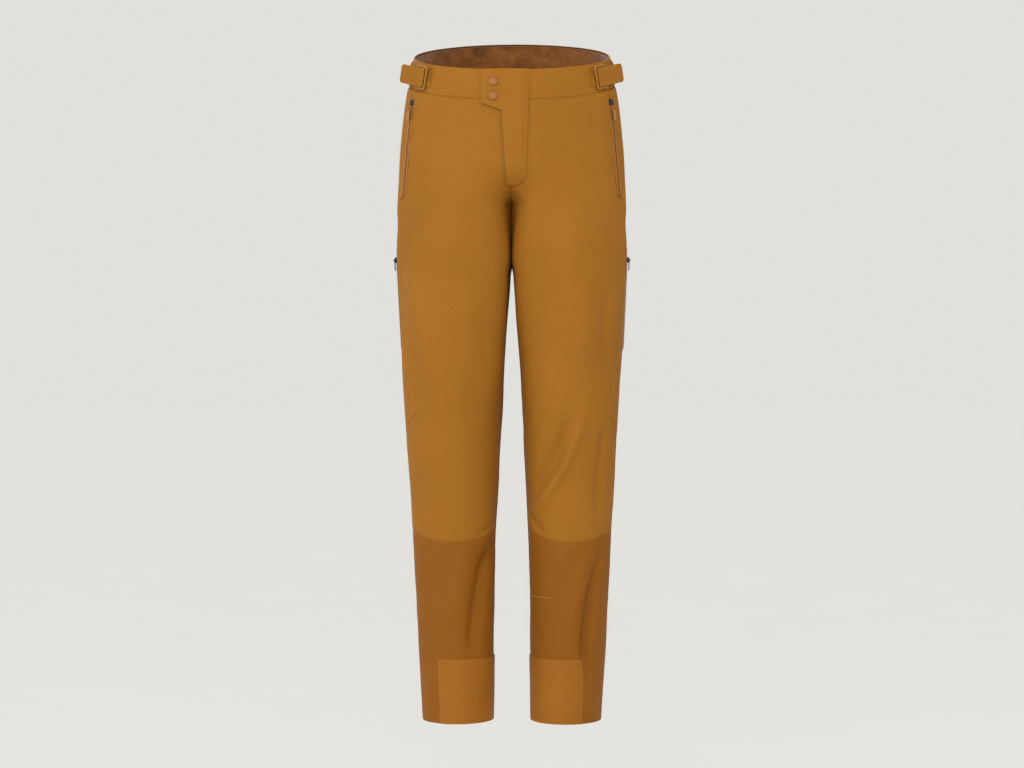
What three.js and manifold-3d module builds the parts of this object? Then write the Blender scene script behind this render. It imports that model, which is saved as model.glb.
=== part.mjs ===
// Softshell mountain trousers, in millimetres, +Z up, front facing -Y.
// The cloth panels are thin closed shells on one trouser surface; the hardware sits on that surface.
import * as THREE from 'three';
import { mergeVertices } from 'three/addons/utils/BufferGeometryUtils.js';
import Module from 'manifold-3d';

const wasm = await Module();
wasm.setup();
const { Manifold, Mesh } = wasm;

// ---- Driving sizes ----------------------------------------------------------------------------
const inseam = 800;            // hems to the crotch seam
const rise = 234;              // crotch seam to the top edge of the waist, at the sides
const waistDip = 32;           // the front edge is this much lower than the sides, the back higher
const bandHeight = 46;         // waistband
const waistHalfWidth = 153;
const hipHalfWidth = 174;
const thighHalfWidth = 88;     // of one leg
const kneeHalfWidth = 73;
const hemHalfWidth = 55;
const hemCentre = 85;          // middle of a hem, from the middle of the garment
const legGap = 2;              // between the two inner thighs
const clothThickness = 1.6;
const seamGap = 0.5;           // between two panels that are sewn together
const layerGap = 0.3;          // between two layers that lie on each other
const facetDip = 1.2;          // how far a flat facet of a panel lies inside the curved surface
const frontRiseHeight = 65;    // the crotch curve is this tall in front
const backRiseHeight = 110;    // and this tall behind

const waistSide = inseam + rise;
const flyHalfSlot = 4.8;           // half of the slot that the fly zip fills
const flyBottom = inseam + 45;

// ---- Trouser surface --------------------------------------------------------------------------
// Half widths and depths of one leg and of the hips, from the hem up.
const stations = [
  { z: 0, outer: hemCentre + hemHalfWidth, inner: hemCentre - hemHalfWidth, front: 74, back: 84 },
  { z: 0.2 * inseam, outer: 149, inner: 28, front: 70, back: 88 },
  { z: 0.36 * inseam, outer: 155, inner: 25, front: 73, back: 86 },
  { z: 0.55 * inseam, outer: 91 + kneeHalfWidth, inner: 91 - kneeHalfWidth, front: 85, back: 80 },
  { z: 0.73 * inseam, outer: 172, inner: 10, front: 92, back: 92 },
  { z: 0.89 * inseam, outer: 89 + thighHalfWidth, inner: legGap / 2, front: 100, back: 104 },
  { z: inseam, outer: hipHalfWidth + 3, inner: legGap / 2, front: 106, back: 120 },
  { z: inseam + 0.38 * rise, outer: hipHalfWidth, inner: legGap / 2, front: 106, back: 126 },
  { z: inseam + 0.7 * rise, outer: 165, inner: legGap / 2, front: 101, back: 117 },
  { z: waistSide, outer: waistHalfWidth, inner: legGap / 2, front: 94, back: 106 },
  { z: waistSide + waistDip, outer: waistHalfWidth - 3, inner: legGap / 2, front: 91, back: 102 },
];

// Smooth value of one station field at height z.
function along(field, z) {
  const last = stations.length - 1;
  let i = 0;
  while (i < last - 1 && z > stations[i + 1].z) i += 1;
  const slope = (a, b) => (stations[b][field] - stations[a][field]) / (stations[b].z - stations[a].z);
  const span = stations[i + 1].z - stations[i].z;
  const t = (z - stations[i].z) / span;
  const m0 = slope(Math.max(i - 1, 0), i + 1) * span;
  const m1 = slope(i, Math.min(i + 2, last)) * span;
  const p0 = stations[i][field];
  const p1 = stations[i + 1][field];
  return (2 * t ** 3 - 3 * t ** 2 + 1) * p0 + (t ** 3 - 2 * t ** 2 + t) * m0
    + (3 * t ** 2 - 2 * t ** 3) * p1 + (t ** 3 - t ** 2) * m1;
}

// How far the section at height z has opened from a leg, 0, to the hips, 1. Next to the seams in
// the middle it follows the round crotch curve, and further out it opens more gently.
function opened(u, z) {
  const height = u >= 0 ? frontRiseHeight : backRiseHeight;
  const k = THREE.MathUtils.clamp((z - inseam) / height, 0, 1);
  const gentle = THREE.MathUtils.smoothstep(z, inseam - 1.2 * height, inseam + height);
  return THREE.MathUtils.lerp(gentle, Math.sqrt(k * (2 - k)), u ** 8);
}

// A point of the cloth. side is +1 for +X. u runs from -1, the inseam or centre back,
// through 0, the outseam, to 1, the inseam or centre front.
function surface(side, u, z) {
  const outer = along('outer', z);
  const inner = along('inner', z);
  const facing = u >= 0 ? -1 : 1;
  const depth = along(u >= 0 ? 'front' : 'back', z);
  const w = opened(u, z);
  const angle = Math.PI * Math.abs(u);
  const legX = (outer + inner) / 2 + (outer - inner) / 2 * Math.cos(angle);
  const x = (1 - w) * legX + w * outer * Math.cos(angle / 2);
  const y = (1 - w) * Math.sin(angle) + w * Math.sin(angle / 2);
  return new THREE.Vector3(side * Math.max(x, seamGap / 2), facing * depth * y, z);
}

// Outward normal of the cloth at a point.
function normal(side, u, z) {
  const du = 0.004;
  const dz = 0.6;
  const across = surface(side, Math.min(u + du, 1), z).sub(surface(side, Math.max(u - du, -1), z));
  const up = surface(side, u, z + dz).sub(surface(side, u, z - dz));
  return across.cross(up).multiplyScalar(-side).normalize();
}

// The step in u that moves a point along the cloth by the given length.
function uStep(u, z, length) {
  const du = 0.05;
  const a = Math.max(u - du, -1);
  const b = Math.min(u + du, 1);
  return length * (b - a) / surface(1, a, z).distanceTo(surface(1, b, z));
}

const waistTop = (u) => waistSide - waistDip * Math.sin(Math.PI * u / 2);
const bandBottom = (u) => waistTop(u) - bandHeight;

// The u of the point of the front that lies x from the middle, at height z.
function frontU(x, z) {
  let low = 0.3;
  let high = 1;
  for (let i = 0; i < 24; i += 1) {
    const middle = (low + high) / 2;
    if (surface(1, middle, z).x > Math.abs(x)) low = middle; else high = middle;
  }
  return (low + high) / 2;
}

// ---- Mesh helpers -----------------------------------------------------------------------------
// Closed solid between two grids of points with the same rows and columns.
function solidBetween(outerGrid, innerGrid) {
  const rows = outerGrid.length;
  const cols = outerGrid[0].length;
  const positions = [];
  for (const grid of [outerGrid, innerGrid]) {
    for (const row of grid) row.forEach((p) => positions.push(p.x, p.y, p.z));
  }
  const index = [];
  const at = (layer, i, j) => layer * rows * cols + i * cols + j;
  const quad = (a, b, c, d) => index.push(a, b, c, a, c, d);
  for (let i = 0; i < rows - 1; i += 1) {
    for (let j = 0; j < cols - 1; j += 1) {
      quad(at(0, i, j), at(0, i, j + 1), at(0, i + 1, j + 1), at(0, i + 1, j));
      quad(at(1, i + 1, j), at(1, i + 1, j + 1), at(1, i, j + 1), at(1, i, j));
    }
  }
  for (let j = 0; j < cols - 1; j += 1) {
    quad(at(1, 0, j), at(1, 0, j + 1), at(0, 0, j + 1), at(0, 0, j));
    quad(at(0, rows - 1, j), at(0, rows - 1, j + 1), at(1, rows - 1, j + 1), at(1, rows - 1, j));
  }
  for (let i = 0; i < rows - 1; i += 1) {
    quad(at(0, i, 0), at(0, i + 1, 0), at(1, i + 1, 0), at(1, i, 0));
    quad(at(1, i, cols - 1), at(1, i + 1, cols - 1), at(0, i + 1, cols - 1), at(0, i, cols - 1));
  }
  const geometry = new THREE.BufferGeometry();
  geometry.setAttribute('position', new THREE.Float32BufferAttribute(positions, 3));
  geometry.setIndex(signedVolume(positions, index) < 0 ? index.reverse() : index);
  return geometry;
}

function signedVolume(positions, index) {
  const p = (k) => new THREE.Vector3().fromArray(positions, index[k] * 3);
  let total = 0;
  for (let k = 0; k < index.length; k += 3) total += p(k).dot(p(k + 1).cross(p(k + 2)));
  return total / 6;
}

// Layer of cloth over a grid of {side, u, z} places. lift is the height of its outer face above the
// trouser surface, as a number or as a function of the place.
function clothLayer(grid, lift, thickness) {
  const raise = (place, extra) => {
    const height = typeof lift === 'function' ? lift(place) : lift;
    const point = surface(place.side, place.u, place.z);
    point.addScaledVector(normal(place.side, place.u, place.z), height + extra);
    return place.z === 0 ? point.setZ(0) : point;    // a hem is cut level
  };
  const outerGrid = grid.map((row) => row.map((place) => raise(place, 0)));
  const innerGrid = grid.map((row) => row.map((place) => raise(place, -thickness)));
  return solidBetween(outerGrid, innerGrid);
}

const spread = (from, to, count) => Array.from({ length: count + 1 }, (_, k) => from + (to - from) * k / count);

// Value at z of a line through [z, value] pairs in falling z.
function lineAt(points, z) {
  if (z >= points[0][0]) return points[0][1];
  for (let k = 0; k < points.length - 1; k += 1) {
    const [z0, v0] = points[k];
    const [z1, v1] = points[k + 1];
    if (z >= z1) return v0 + (v1 - v0) * THREE.MathUtils.clamp((z - z0) / (z1 - z0), 0, 1);
  }
  return points.at(-1)[1];
}

function toManifold(geometry) {
  const plain = mergeVertices(new THREE.BufferGeometry()
    .setAttribute('position', geometry.getAttribute('position').clone())
    .setIndex(geometry.index ? geometry.index.clone() : null), 1e-4);
  return new Manifold(new Mesh({
    numProp: 3,
    vertProperties: new Float32Array(plain.attributes.position.array),
    triVerts: new Uint32Array(plain.index.array),
  }));
}

function fromManifold(solid) {
  const mesh = solid.getMesh();
  const geometry = new THREE.BufferGeometry();
  geometry.setAttribute('position', new THREE.Float32BufferAttribute(mesh.vertProperties, 3));
  geometry.setIndex(Array.from(mesh.triVerts));
  return geometry;
}

const fuse = (a, b) => fromManifold(toManifold(a).add(toManifold(b)));
const cut = (a, b) => fromManifold(toManifold(a).subtract(toManifold(b)));

// Plate with rounded corners in the XY plane, centred, its lower face at z = 0.
function roundedPlate(width, height, thickness, radius, hole = null) {
  const outline = (w, h, r, shape) => {
    shape.moveTo(-w / 2 + r, -h / 2);
    shape.lineTo(w / 2 - r, -h / 2).absarc(w / 2 - r, -h / 2 + r, r, -Math.PI / 2, 0);
    shape.lineTo(w / 2, h / 2 - r).absarc(w / 2 - r, h / 2 - r, r, 0, Math.PI / 2);
    shape.lineTo(-w / 2 + r, h / 2).absarc(-w / 2 + r, h / 2 - r, r, Math.PI / 2, Math.PI);
    shape.lineTo(-w / 2, -h / 2 + r).absarc(-w / 2 + r, -h / 2 + r, r, Math.PI, Math.PI * 1.5);
    return shape;
  };
  const shape = outline(width, height, radius, new THREE.Shape());
  if (hole) shape.holes.push(outline(hole.width, hole.height, hole.radius, new THREE.Path()));
  return new THREE.ExtrudeGeometry(shape, { depth: thickness, bevelEnabled: false, curveSegments: 2 });
}

// Solid of revolution about Z from a closed profile of [radius, height] pairs.
function turned(profile, segments) {
  const points = [...profile, profile[0]].map(([r, z]) => new THREE.Vector2(r, z));
  return new THREE.LatheGeometry(points, segments).rotateX(Math.PI / 2);
}

// ---- Seats for hardware -----------------------------------------------------------------------
// Frame whose X runs across (rearward on an outer side), Y up along the cloth and Z outward.
function frameFrom(origin, up, outward) {
  const y = up.clone().normalize();
  const z = outward.clone().addScaledVector(y, -outward.dot(y)).normalize();
  const x = y.clone().cross(z);
  return new THREE.Matrix4().makeBasis(x, y, z).setPosition(origin);
}

function seat(side, u, z) {
  const up = surface(side, u, z + 1).sub(surface(side, u, z - 1));
  return frameFrom(surface(side, u, z), up, normal(side, u, z));
}

// Straight seat for a zip between two places of one side: its origin is the top end, and it is
// lifted (or sunk, where below is true) so that the curved cloth never crosses it.
function straightSeat(side, top, bottom, halfWidth, below = false) {
  const start = surface(side, top.u, top.z);
  const end = surface(side, bottom.u, bottom.z);
  const up = start.clone().sub(end);
  const outward = normal(side, top.u, top.z).add(normal(side, bottom.u, bottom.z));
  const frame = frameFrom(start, up, outward);
  const zAxis = new THREE.Vector3().setFromMatrixColumn(frame, 2);
  const heights = [];
  for (const t of spread(0, 1, 12)) {
    const u = top.u + (bottom.u - top.u) * t;
    const z = top.z + (bottom.z - top.z) * t;
    for (const reach of [-halfWidth, 0, halfWidth]) {
      const uSide = THREE.MathUtils.clamp(u + uStep(u, z, reach), -1, 1);
      heights.push(surface(side, uSide, z).sub(start).dot(zAxis));
    }
  }
  const lift = below ? Math.min(...heights) : Math.max(...heights);
  frame.setPosition(start.addScaledVector(zAxis, lift));
  return { frame, length: up.length() };
}

// ---- Materials --------------------------------------------------------------------------------
const material = (color, roughness, metalness = 0) => new THREE.MeshStandardMaterial({ color, roughness, metalness });
const materials = {
  softshell: () => material(0xa97029, 0.85),
  shinCloth: () => material(0x996024, 0.85),
  kickCloth: () => material(0xa97433, 0.8),
  lining: () => material(0x76462a, 0.95),
  pocketMesh: () => material(0x7a5226, 0.95),
  tape: () => material(0x9a6430, 0.9),
  coil: () => material(0xb98152, 0.5),
  pull: () => material(0xc08a5a, 0.5),
  blackPull: () => material(0x16150f, 0.6),
  copper: () => material(0xb06a2c, 0.35, 0.9),
  buckle: () => material(0xa06a26, 0.5),
  sliderMetal: () => material(0x8a5a34, 0.4, 0.6),
};

const trousers = new THREE.Group();
trousers.name = 'softshell_trousers';

// Adds one named piece.
function piece(name, geometry, kind) {
  geometry.deleteAttribute('normal');
  geometry.deleteAttribute('uv');
  const mesh = new THREE.Mesh(geometry, materials[kind]());
  mesh.name = name;
  trousers.add(mesh);
}

// ---- Cloth panels -----------------------------------------------------------------------------
const kneeSeamSide = 0.366 * inseam;       // height of the knee seam at the sides
const kneeSeamDrop = 15;                   // and how far it curves down in front
const sidePanelTop = inseam + 12;          // front top corner of the thigh side panel
const sidePanelDrop = 27;                  // its top edge falls this much rearward
const sidePanelBottom = 0.548 * inseam;    // lowest point, on the outseam
const sidePanelPoint = 38;                 // its bottom corners are this much higher
const sidePanelWaist = 0.76 * inseam;      // height at which its front edge lies furthest back
const sidePanelBack = -0.155;              // u of its rear edge
const handZipTop = { u: 0.262, z: inseam + 0.65 * rise };
const handZipBottom = { u: 0.2, z: sidePanelTop };
const sideZipTop = { u: 0.03, z: 0.9 * inseam };
const sideZipBottom = { u: -0.05, z: 0.72 * inseam };
const kickTop = 99;
const kickFront = 0.36;                    // u of the front edge of the kick patch
const kickBack = -0.7;
const riseRowTop = inseam + backRiseHeight;
const frontEdge = 1 - 1e-6;

const panelRows = [
  0, 0.055 * inseam, kickTop, 0.19 * inseam, 0.27 * inseam, kneeSeamSide, 0.42 * inseam, 0.49 * inseam,
  ...spread(sidePanelBottom, sidePanelBottom + sidePanelPoint, 4),
  0.66 * inseam, sidePanelWaist, 0.81 * inseam, 0.88 * inseam, 0.94 * inseam,
  sidePanelTop - sidePanelDrop, inseam, inseam + 3,
  sidePanelTop, inseam + 22, inseam + 40, flyBottom, inseam + frontRiseHeight, inseam + 86, riseRowTop,
];

// Rows of heights for a panel between two levels. Above the rise the last rows follow the waistband.
function heightsBetween(bottom, top) {
  const inside = panelRows.filter((z) => z > bottom + 2 && z < top - 2);
  return [bottom, ...inside, ...(top > riseRowTop ? [] : [top])];
}

// Columns from a to b that keep to fixed places on the far side of a given u, whatever the edges do.
const columnsVia = (a, u, b, before, after) => [...spread(a, u, before), ...spread(u, b, after).slice(1)];

// Grid of a panel between two edges, each a function of z. columns(a, b) gives the u of its columns.
function panelGrid(side, heights, uFrom, uTo, columns, bendRow, toBand) {
  const grid = heights.map((z, i) => {
    const a = uFrom(z) + uStep(uFrom(z), z, seamGap / 2);
    const b = uTo(z) - uStep(uTo(z), z, seamGap / 2);
    return columns(a, Math.min(b, frontEdge)).map((u) => ({ side, u, z: bendRow(i, u, z) }));
  });
  if (toBand) {
    for (const share of [0.5, 1]) {
      const reach = (u) => riseRowTop + share * (bandBottom(u) - riseRowTop) - (share === 1 ? seamGap / 2 : 0);
      const zMid = riseRowTop + share * (bandBottom(handZipTop.u) - riseRowTop);
      const a = uFrom(zMid) + uStep(uFrom(zMid), zMid, seamGap / 2);
      const b = uTo(zMid) - uStep(uTo(zMid), zMid, seamGap / 2);
      grid.push(columns(a, Math.min(b, frontEdge)).map((u) => ({ side, u, z: reach(u) })));
    }
  }
  return grid;
}

const handZipLine = [[handZipTop.z, handZipTop.u], [handZipBottom.z, handZipBottom.u]];
const sidePanelFront = [
  [sidePanelTop - 5, 0.16],
  [sidePanelWaist, 0.1],
  [sidePanelBottom + sidePanelPoint, 0.235],
];
const frontOuterEdge = [
  ...handZipLine,
  ...sidePanelFront,
  [sidePanelBottom, 0],
  [0, 0],
];
const backOuterEdge = [
  [sidePanelBottom + sidePanelPoint, sidePanelBack],
  [sidePanelBottom, 0],
  [0, 0],
];

// Centre front edge: the inseam and crotch seam, and above them the side of the fly slot.
const flySlotU = (z) => 1 - uStep(1, z, flyHalfSlot);
const frontInnerEdge = (z) => (z >= flyBottom - 1 ? flySlotU(z) : 1);
const kneeSeam = (u) => kneeSeamSide - kneeSeamDrop * Math.sin(Math.PI * u) ** 2;

function frontPanel(side) {
  const heights = heightsBetween(kneeSeamSide, 10000);
  const bend = (i, u, z) => (i === 0 ? kneeSeam(u) + seamGap / 2 : z);
  const columns = (a, b) => columnsVia(a, 0.32, b, 3, 6);
  const grid = panelGrid(side, heights, (z) => lineAt(frontOuterEdge, z), frontInnerEdge, columns, bend, true);
  return clothLayer(grid, 0, clothThickness);
}

function backPanel(side) {
  const heights = heightsBetween(0, 10000);
  const columns = (a, b) => columnsVia(a, -0.32, b, 8, 3);
  const outerEdge = (z) => lineAt(backOuterEdge, z);
  const grid = panelGrid(side, heights, () => -1, outerEdge, columns, (i, u, z) => z, true);
  return clothLayer(grid, 0, clothThickness);
}

function shinPanel(side) {
  const heights = heightsBetween(0, kneeSeamSide);
  const last = heights.length - 1;
  const bend = (i, u, z) => (i === last ? kneeSeam(u) - seamGap / 2 : z);
  const grid = panelGrid(side, heights, () => 0, () => 1, (a, b) => columnsVia(a, 0.32, b, 2, 6), bend, false);
  return clothLayer(grid, 0, clothThickness);
}

// Seam between the hip and the thigh side panels, which falls rearward from the foot of the hand zip.
const sideSeam = (u) => THREE.MathUtils.mapLinear(
  u, sidePanelBack, handZipBottom.u, sidePanelTop - sidePanelDrop, sidePanelTop);

// Panel behind the hand zip, from the side seam up to the waistband.
function hipSidePanel(side) {
  const heights = heightsBetween(sidePanelTop, 10000);
  const bend = (i, u, z) => (i === 0 ? sideSeam(u) + seamGap / 2 : z);
  const zipEdge = (z) => lineAt(handZipLine, z);
  const columns = (a, b) => spread(a, b, 5);
  const grid = panelGrid(side, heights, () => sidePanelBack, zipEdge, columns, bend, true);
  return clothLayer(grid, 0, clothThickness);
}

function thighSidePanel(side) {
  const gapU = uStep(0, inseam, 1.2 * seamGap);
  const corner = sidePanelBottom + sidePanelPoint;
  const cornerU = lineAt(sidePanelFront, corner);
  const frontTop = sideSeam(lineAt(sidePanelFront, sidePanelTop));
  const bottomAt = (u) => sidePanelBottom + sidePanelPoint * Math.abs(u) / (u > 0 ? cornerU : -sidePanelBack);
  const waistAt = (sidePanelWaist - corner) / (frontTop - corner);
  const levels = [...spread(0, waistAt, 5), ...spread(waistAt, 1, 7).slice(1)];
  const grid = levels.map((t) => columnsVia(sidePanelBack, 0, cornerU, 2, 3).map((footU) => {
    const share = (footU - sidePanelBack) / (cornerU - sidePanelBack);
    const foot = bottomAt(footU) + seamGap;
    const reach = lineAt(sidePanelFront, THREE.MathUtils.lerp(foot, frontTop, t));
    const u = THREE.MathUtils.lerp(sidePanelBack + gapU, reach - gapU, share);
    return { side, u, z: THREE.MathUtils.lerp(foot, sideSeam(u) - seamGap / 2, t) };
  }));
  return clothLayer(grid, 0, clothThickness);
}

// Reinforcement lapped over the inner ankle.
function kickPatch(side) {
  const rows = [seamGap, 0.055 * inseam, kickTop];
  const wrap = [...spread(kickFront, 1, 12), ...spread(-1, kickBack, 6).slice(1)];
  const grid = rows.map((z) => wrap.map((u) => ({ side, u, z })));
  return clothLayer(grid, layerGap + 1.2, 1);
}

for (const [side, name] of [[1, 'left'], [-1, 'right']]) {
  piece(`front_panel_${name}`, frontPanel(side), 'softshell');
  piece(`back_panel_${name}`, backPanel(side), 'softshell');
  piece(`hip_side_panel_${name}`, hipSidePanel(side), 'softshell');
  piece(`thigh_side_panel_${name}`, thighSidePanel(side), 'softshell');
  piece(`shin_panel_${name}`, shinPanel(side), 'shinCloth');
  piece(`kick_patch_${name}`, kickPatch(side), 'kickCloth');
}

// ---- Waistband --------------------------------------------------------------------------------
const bandSplit = 0.12;                    // u where the front and back waistbands are joined
const bandLevels = [0, 0.5, 1];

function bandRow(side, level, uFrom, uTo, cols, inset = 0) {
  return spread(uFrom, uTo, cols).map((u) => {
    const low = bandBottom(u) + seamGap / 2 + inset;
    return { side, u, z: low + level * (waistTop(u) - inset - low) };
  });
}

function waistbandFront(side) {
  const gapU = uStep(bandSplit, waistSide, seamGap / 2);
  const grid = bandLevels.map((level) => bandRow(side, level, bandSplit + gapU, flySlotU(waistSide), 9));
  return clothLayer(grid, 0, clothThickness);
}

// One band round the back from one side join to the other.
function roundTheBack(level, uEnd, cols, inset = 0) {
  const leftHalf = bandRow(1, level, uEnd, -1, cols, inset);
  const rightHalf = bandRow(-1, level, -1, uEnd, cols, inset);
  return [...leftHalf.slice(0, -1), ...rightHalf.slice(1)];
}

function waistbandBack() {
  const gapU = uStep(bandSplit, waistSide, seamGap / 2);
  const grid = bandLevels.map((level) => roundTheBack(level, bandSplit - gapU, 9));
  return clothLayer(grid, 0, clothThickness);
}

function waistbandLining() {
  const uEnd = 1 - uStep(1, waistSide, 26);
  const grid = bandLevels.map((level) => roundTheBack(level, uEnd, 16, 3));
  return clothLayer(grid, -clothThickness - layerGap - facetDip, 1.2);
}

piece('waistband_front_left', waistbandFront(1), 'softshell');
piece('waistband_front_right', waistbandFront(-1), 'softshell');
piece('waistband_back', waistbandBack(), 'softshell');
piece('waistband_lining', waistbandLining(), 'lining');

// ---- Zips -------------------------------------------------------------------------------------
const tapeThickness = 0.8;
const coilHeight = 1.4;
const slider = { length: 9, width: 8, plate: 1, wall: 1.2, clearance: 0.3 };
const bail = { width: 1.6, length: 5.2, band: 1, room: 1.9 };
const pullBar = 1.2;
const pullEye = { width: 3.2, length: 3 };

const coilBase = layerGap + tapeThickness + layerGap;
const sliderTop = coilBase + coilHeight + slider.clearance + slider.plate;
const hingeHeight = sliderTop + bail.room / 2;

function zipTape(length, width) {
  const plate = new THREE.BoxGeometry(width, length, tapeThickness);
  return plate.translate(0, -length / 2, layerGap + tapeThickness / 2);
}

function zipCoil(length, width) {
  const strip = new THREE.BoxGeometry(width, length, coilHeight);
  return strip.translate(0, -length / 2, coilBase + coilHeight / 2);
}

// Tape of a laminated zip, whose coil is one with it.
function laminatedTape(length, width) {
  const low = layerGap + tapeThickness / 2;
  const coil = new THREE.BoxGeometry(sideSizes.coil, length, coilBase + coilHeight - low);
  return fuse(zipTape(length, width), coil.translate(0, -length / 2, (coilBase + coilHeight + low) / 2));
}

// Slider that rides over the coil, its front end at y = 0, with a bail for the pull on its top.
function zipSlider() {
  const low = layerGap + tapeThickness + slider.clearance;
  const body = roundedPlate(slider.width, slider.length, sliderTop - low, 1);
  body.translate(0, -slider.length / 2, low);
  const channelWidth = slider.width - 2 * slider.wall;
  const channelTop = coilBase + coilHeight + slider.clearance;
  const channel = new THREE.BoxGeometry(channelWidth, slider.length * 2, 2 * (channelTop - low));
  channel.translate(0, -slider.length / 2, low);
  const hollow = cut(body, channel);
  const top = sliderTop + bail.room + bail.band;
  const half = bail.length / 2;
  const arch = new THREE.BoxGeometry(bail.width, bail.length, top - sliderTop + slider.plate / 2);
  arch.translate(0, 0, (top + sliderTop - slider.plate / 2) / 2);
  const window = new THREE.BoxGeometry(bail.width * 2, 2 * (half - bail.band), bail.room);
  window.translate(0, 0, sliderTop + bail.room / 2);
  return fuse(hollow, cut(arch, window).translate(0, -slider.length / 2, 0));
}

// Tongue that hangs from the bail: its bar is on the hinge axis and its tip is a little wider.
function zipPull(length, width) {
  const neck = pullEye.width / 2 + pullBar;
  const shape = new THREE.Shape();
  shape.moveTo(-neck, pullBar / 2).lineTo(neck, pullBar / 2).lineTo(neck, -pullEye.length - pullBar);
  shape.lineTo(width / 2, -length + width / 3);
  shape.quadraticCurveTo(width / 2, -length, width / 4, -length);
  shape.lineTo(-width / 4, -length);
  shape.quadraticCurveTo(-width / 2, -length, -width / 2, -length + width / 3);
  shape.lineTo(-neck, -pullEye.length - pullBar);
  const low = -pullBar / 2 - pullEye.length;
  const eye = new THREE.Path();
  eye.moveTo(-pullEye.width / 2, -pullBar / 2).lineTo(-pullEye.width / 2, low);
  eye.lineTo(pullEye.width / 2, low).lineTo(pullEye.width / 2, -pullBar / 2);
  shape.holes.push(eye);
  const blade = new THREE.ExtrudeGeometry(shape, { depth: pullBar, bevelEnabled: false, curveSegments: 3 });
  return blade.translate(0, -slider.length / 2, hingeHeight - pullBar / 2);
}

// Soft hood over the end of a zip, clear of the slider when it is closed.
function zipGarage(width, length) {
  return roundedPlate(width, length, 1.2, 2).translate(0, length / 2 + 1, layerGap);
}

function zipSet(prefix, name, seatOf, sizes, kinds, tapeMaker = zipTape) {
  const { frame, length } = seatOf;
  const run = length - sizes.inset;
  piece(`${prefix}_zip_tape_${name}`, tapeMaker(run, sizes.tape).applyMatrix4(frame), kinds.tape);
  if (kinds.coil) piece(`${prefix}_zip_coil_${name}`, zipCoil(run, sizes.coil).applyMatrix4(frame), kinds.coil);
  piece(`${prefix}_zip_slider_${name}`, zipSlider().applyMatrix4(frame), kinds.slider);
  piece(`${prefix}_zip_pull_${name}`, zipPull(sizes.pull, sizes.pullWidth).applyMatrix4(frame), kinds.pull);
}

const handSizes = { inset: 1, tape: 12, coil: 4.6, pull: 19, pullWidth: 7 };
const sideSizes = { inset: 1, tape: 11, coil: 4.6, pull: 17, pullWidth: 6 };
const flySizes = { inset: 1, tape: 24, coil: 4.6, pull: 15, pullWidth: 5 };
const warmKinds = { tape: 'tape', coil: 'coil', slider: 'sliderMetal', pull: 'pull' };
const blackKinds = { tape: 'tape', slider: 'blackPull', pull: 'blackPull' };

for (const [side, name] of [[1, 'left'], [-1, 'right']]) {
  const handSeat = straightSeat(side, handZipTop, handZipBottom, handSizes.tape / 2);
  zipSet('hand', name, handSeat, handSizes, warmKinds);
  piece(`hand_zip_garage_${name}`, zipGarage(11, 9).applyMatrix4(handSeat.frame), 'blackPull');
  const sideSeat = straightSeat(side, sideZipTop, sideZipBottom, sideSizes.tape / 2);
  zipSet('thigh', name, sideSeat, sideSizes, blackKinds, laminatedTape);
}

// ---- Pocket bags ------------------------------------------------------------------------------
const bagDip = 0.9;                        // the facets of a bag lie this far inside the panels
const bagLift = -clothThickness - layerGap - bagDip;

function pocketBag(side, uFrom, uTo, zLow, zHigh) {
  const grid = spread(zLow, zHigh, 5).map((z) => spread(uFrom, uTo, 4).map((u) => ({ side, u, z })));
  return clothLayer(grid, bagLift, 1.2);
}

for (const [side, name] of [[1, 'left'], [-1, 'right']]) {
  const handBag = pocketBag(side, 0.14, 0.62, inseam + 70, handZipTop.z - 6);
  piece(`hand_pocket_bag_${name}`, handBag, 'pocketMesh');
  const thighBag = pocketBag(side, -0.13, 0.13, 0.62 * inseam, 0.93 * inseam);
  piece(`thigh_pocket_bag_${name}`, thighBag, 'pocketMesh');
}

// ---- Fly --------------------------------------------------------------------------------------
const flapStandoff = 2.8;                  // room under the flap for the snaps
const flapThickness = 1.8;
const flapSeam = [[waistSide, 31], [bandBottom(1), 27.5], [inseam, 23]];
const tabEdge = -44;                       // free edge of the tab at the waistband
const tabBottom = bandBottom(1) - 6;
const flapShoulder = tabBottom - 12;
const flapFreeEdge = [[waistSide, tabEdge], [tabBottom, tabEdge], [flapShoulder, -13], [inseam, -4]];
const flapTop = waistTop(1) + 0.5;
const flapBottom = inseam + 27;

// The seat of the fly zip lies this far behind the cloth, so that the slider fits under the flap.
const bailTop = sliderTop + bail.room + bail.band;
const flyDepth = bailTop + 2 * layerGap - flapStandoff;

const flapPlace = (x, z) => ({ side: x >= 0 ? 1 : -1, u: frontU(x, z), z, x });

function flyFlap() {
  const rows = [flapBottom, flyBottom, inseam + 66, inseam + 88, inseam + 112, flapShoulder, tabBottom,
    bandBottom(1) + 16, flapTop];
  const grid = rows.map((z, i) => spread(0, 1, 8).map((t) => {
    const x = THREE.MathUtils.lerp(lineAt(flapFreeEdge, z), lineAt(flapSeam, z), t);
    const dip = i === 0 ? 8 * t * t : 0;
    return flapPlace(x, z + dip);
  }));
  const lift = ({ x, z }) => {
    const fromSeam = THREE.MathUtils.clamp((lineAt(flapSeam, z) - x) / 9, 0, 1);
    return THREE.MathUtils.lerp(layerGap, flapStandoff, fromSeam) + flapThickness;
  };
  return clothLayer(grid, lift, flapThickness);
}

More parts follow.
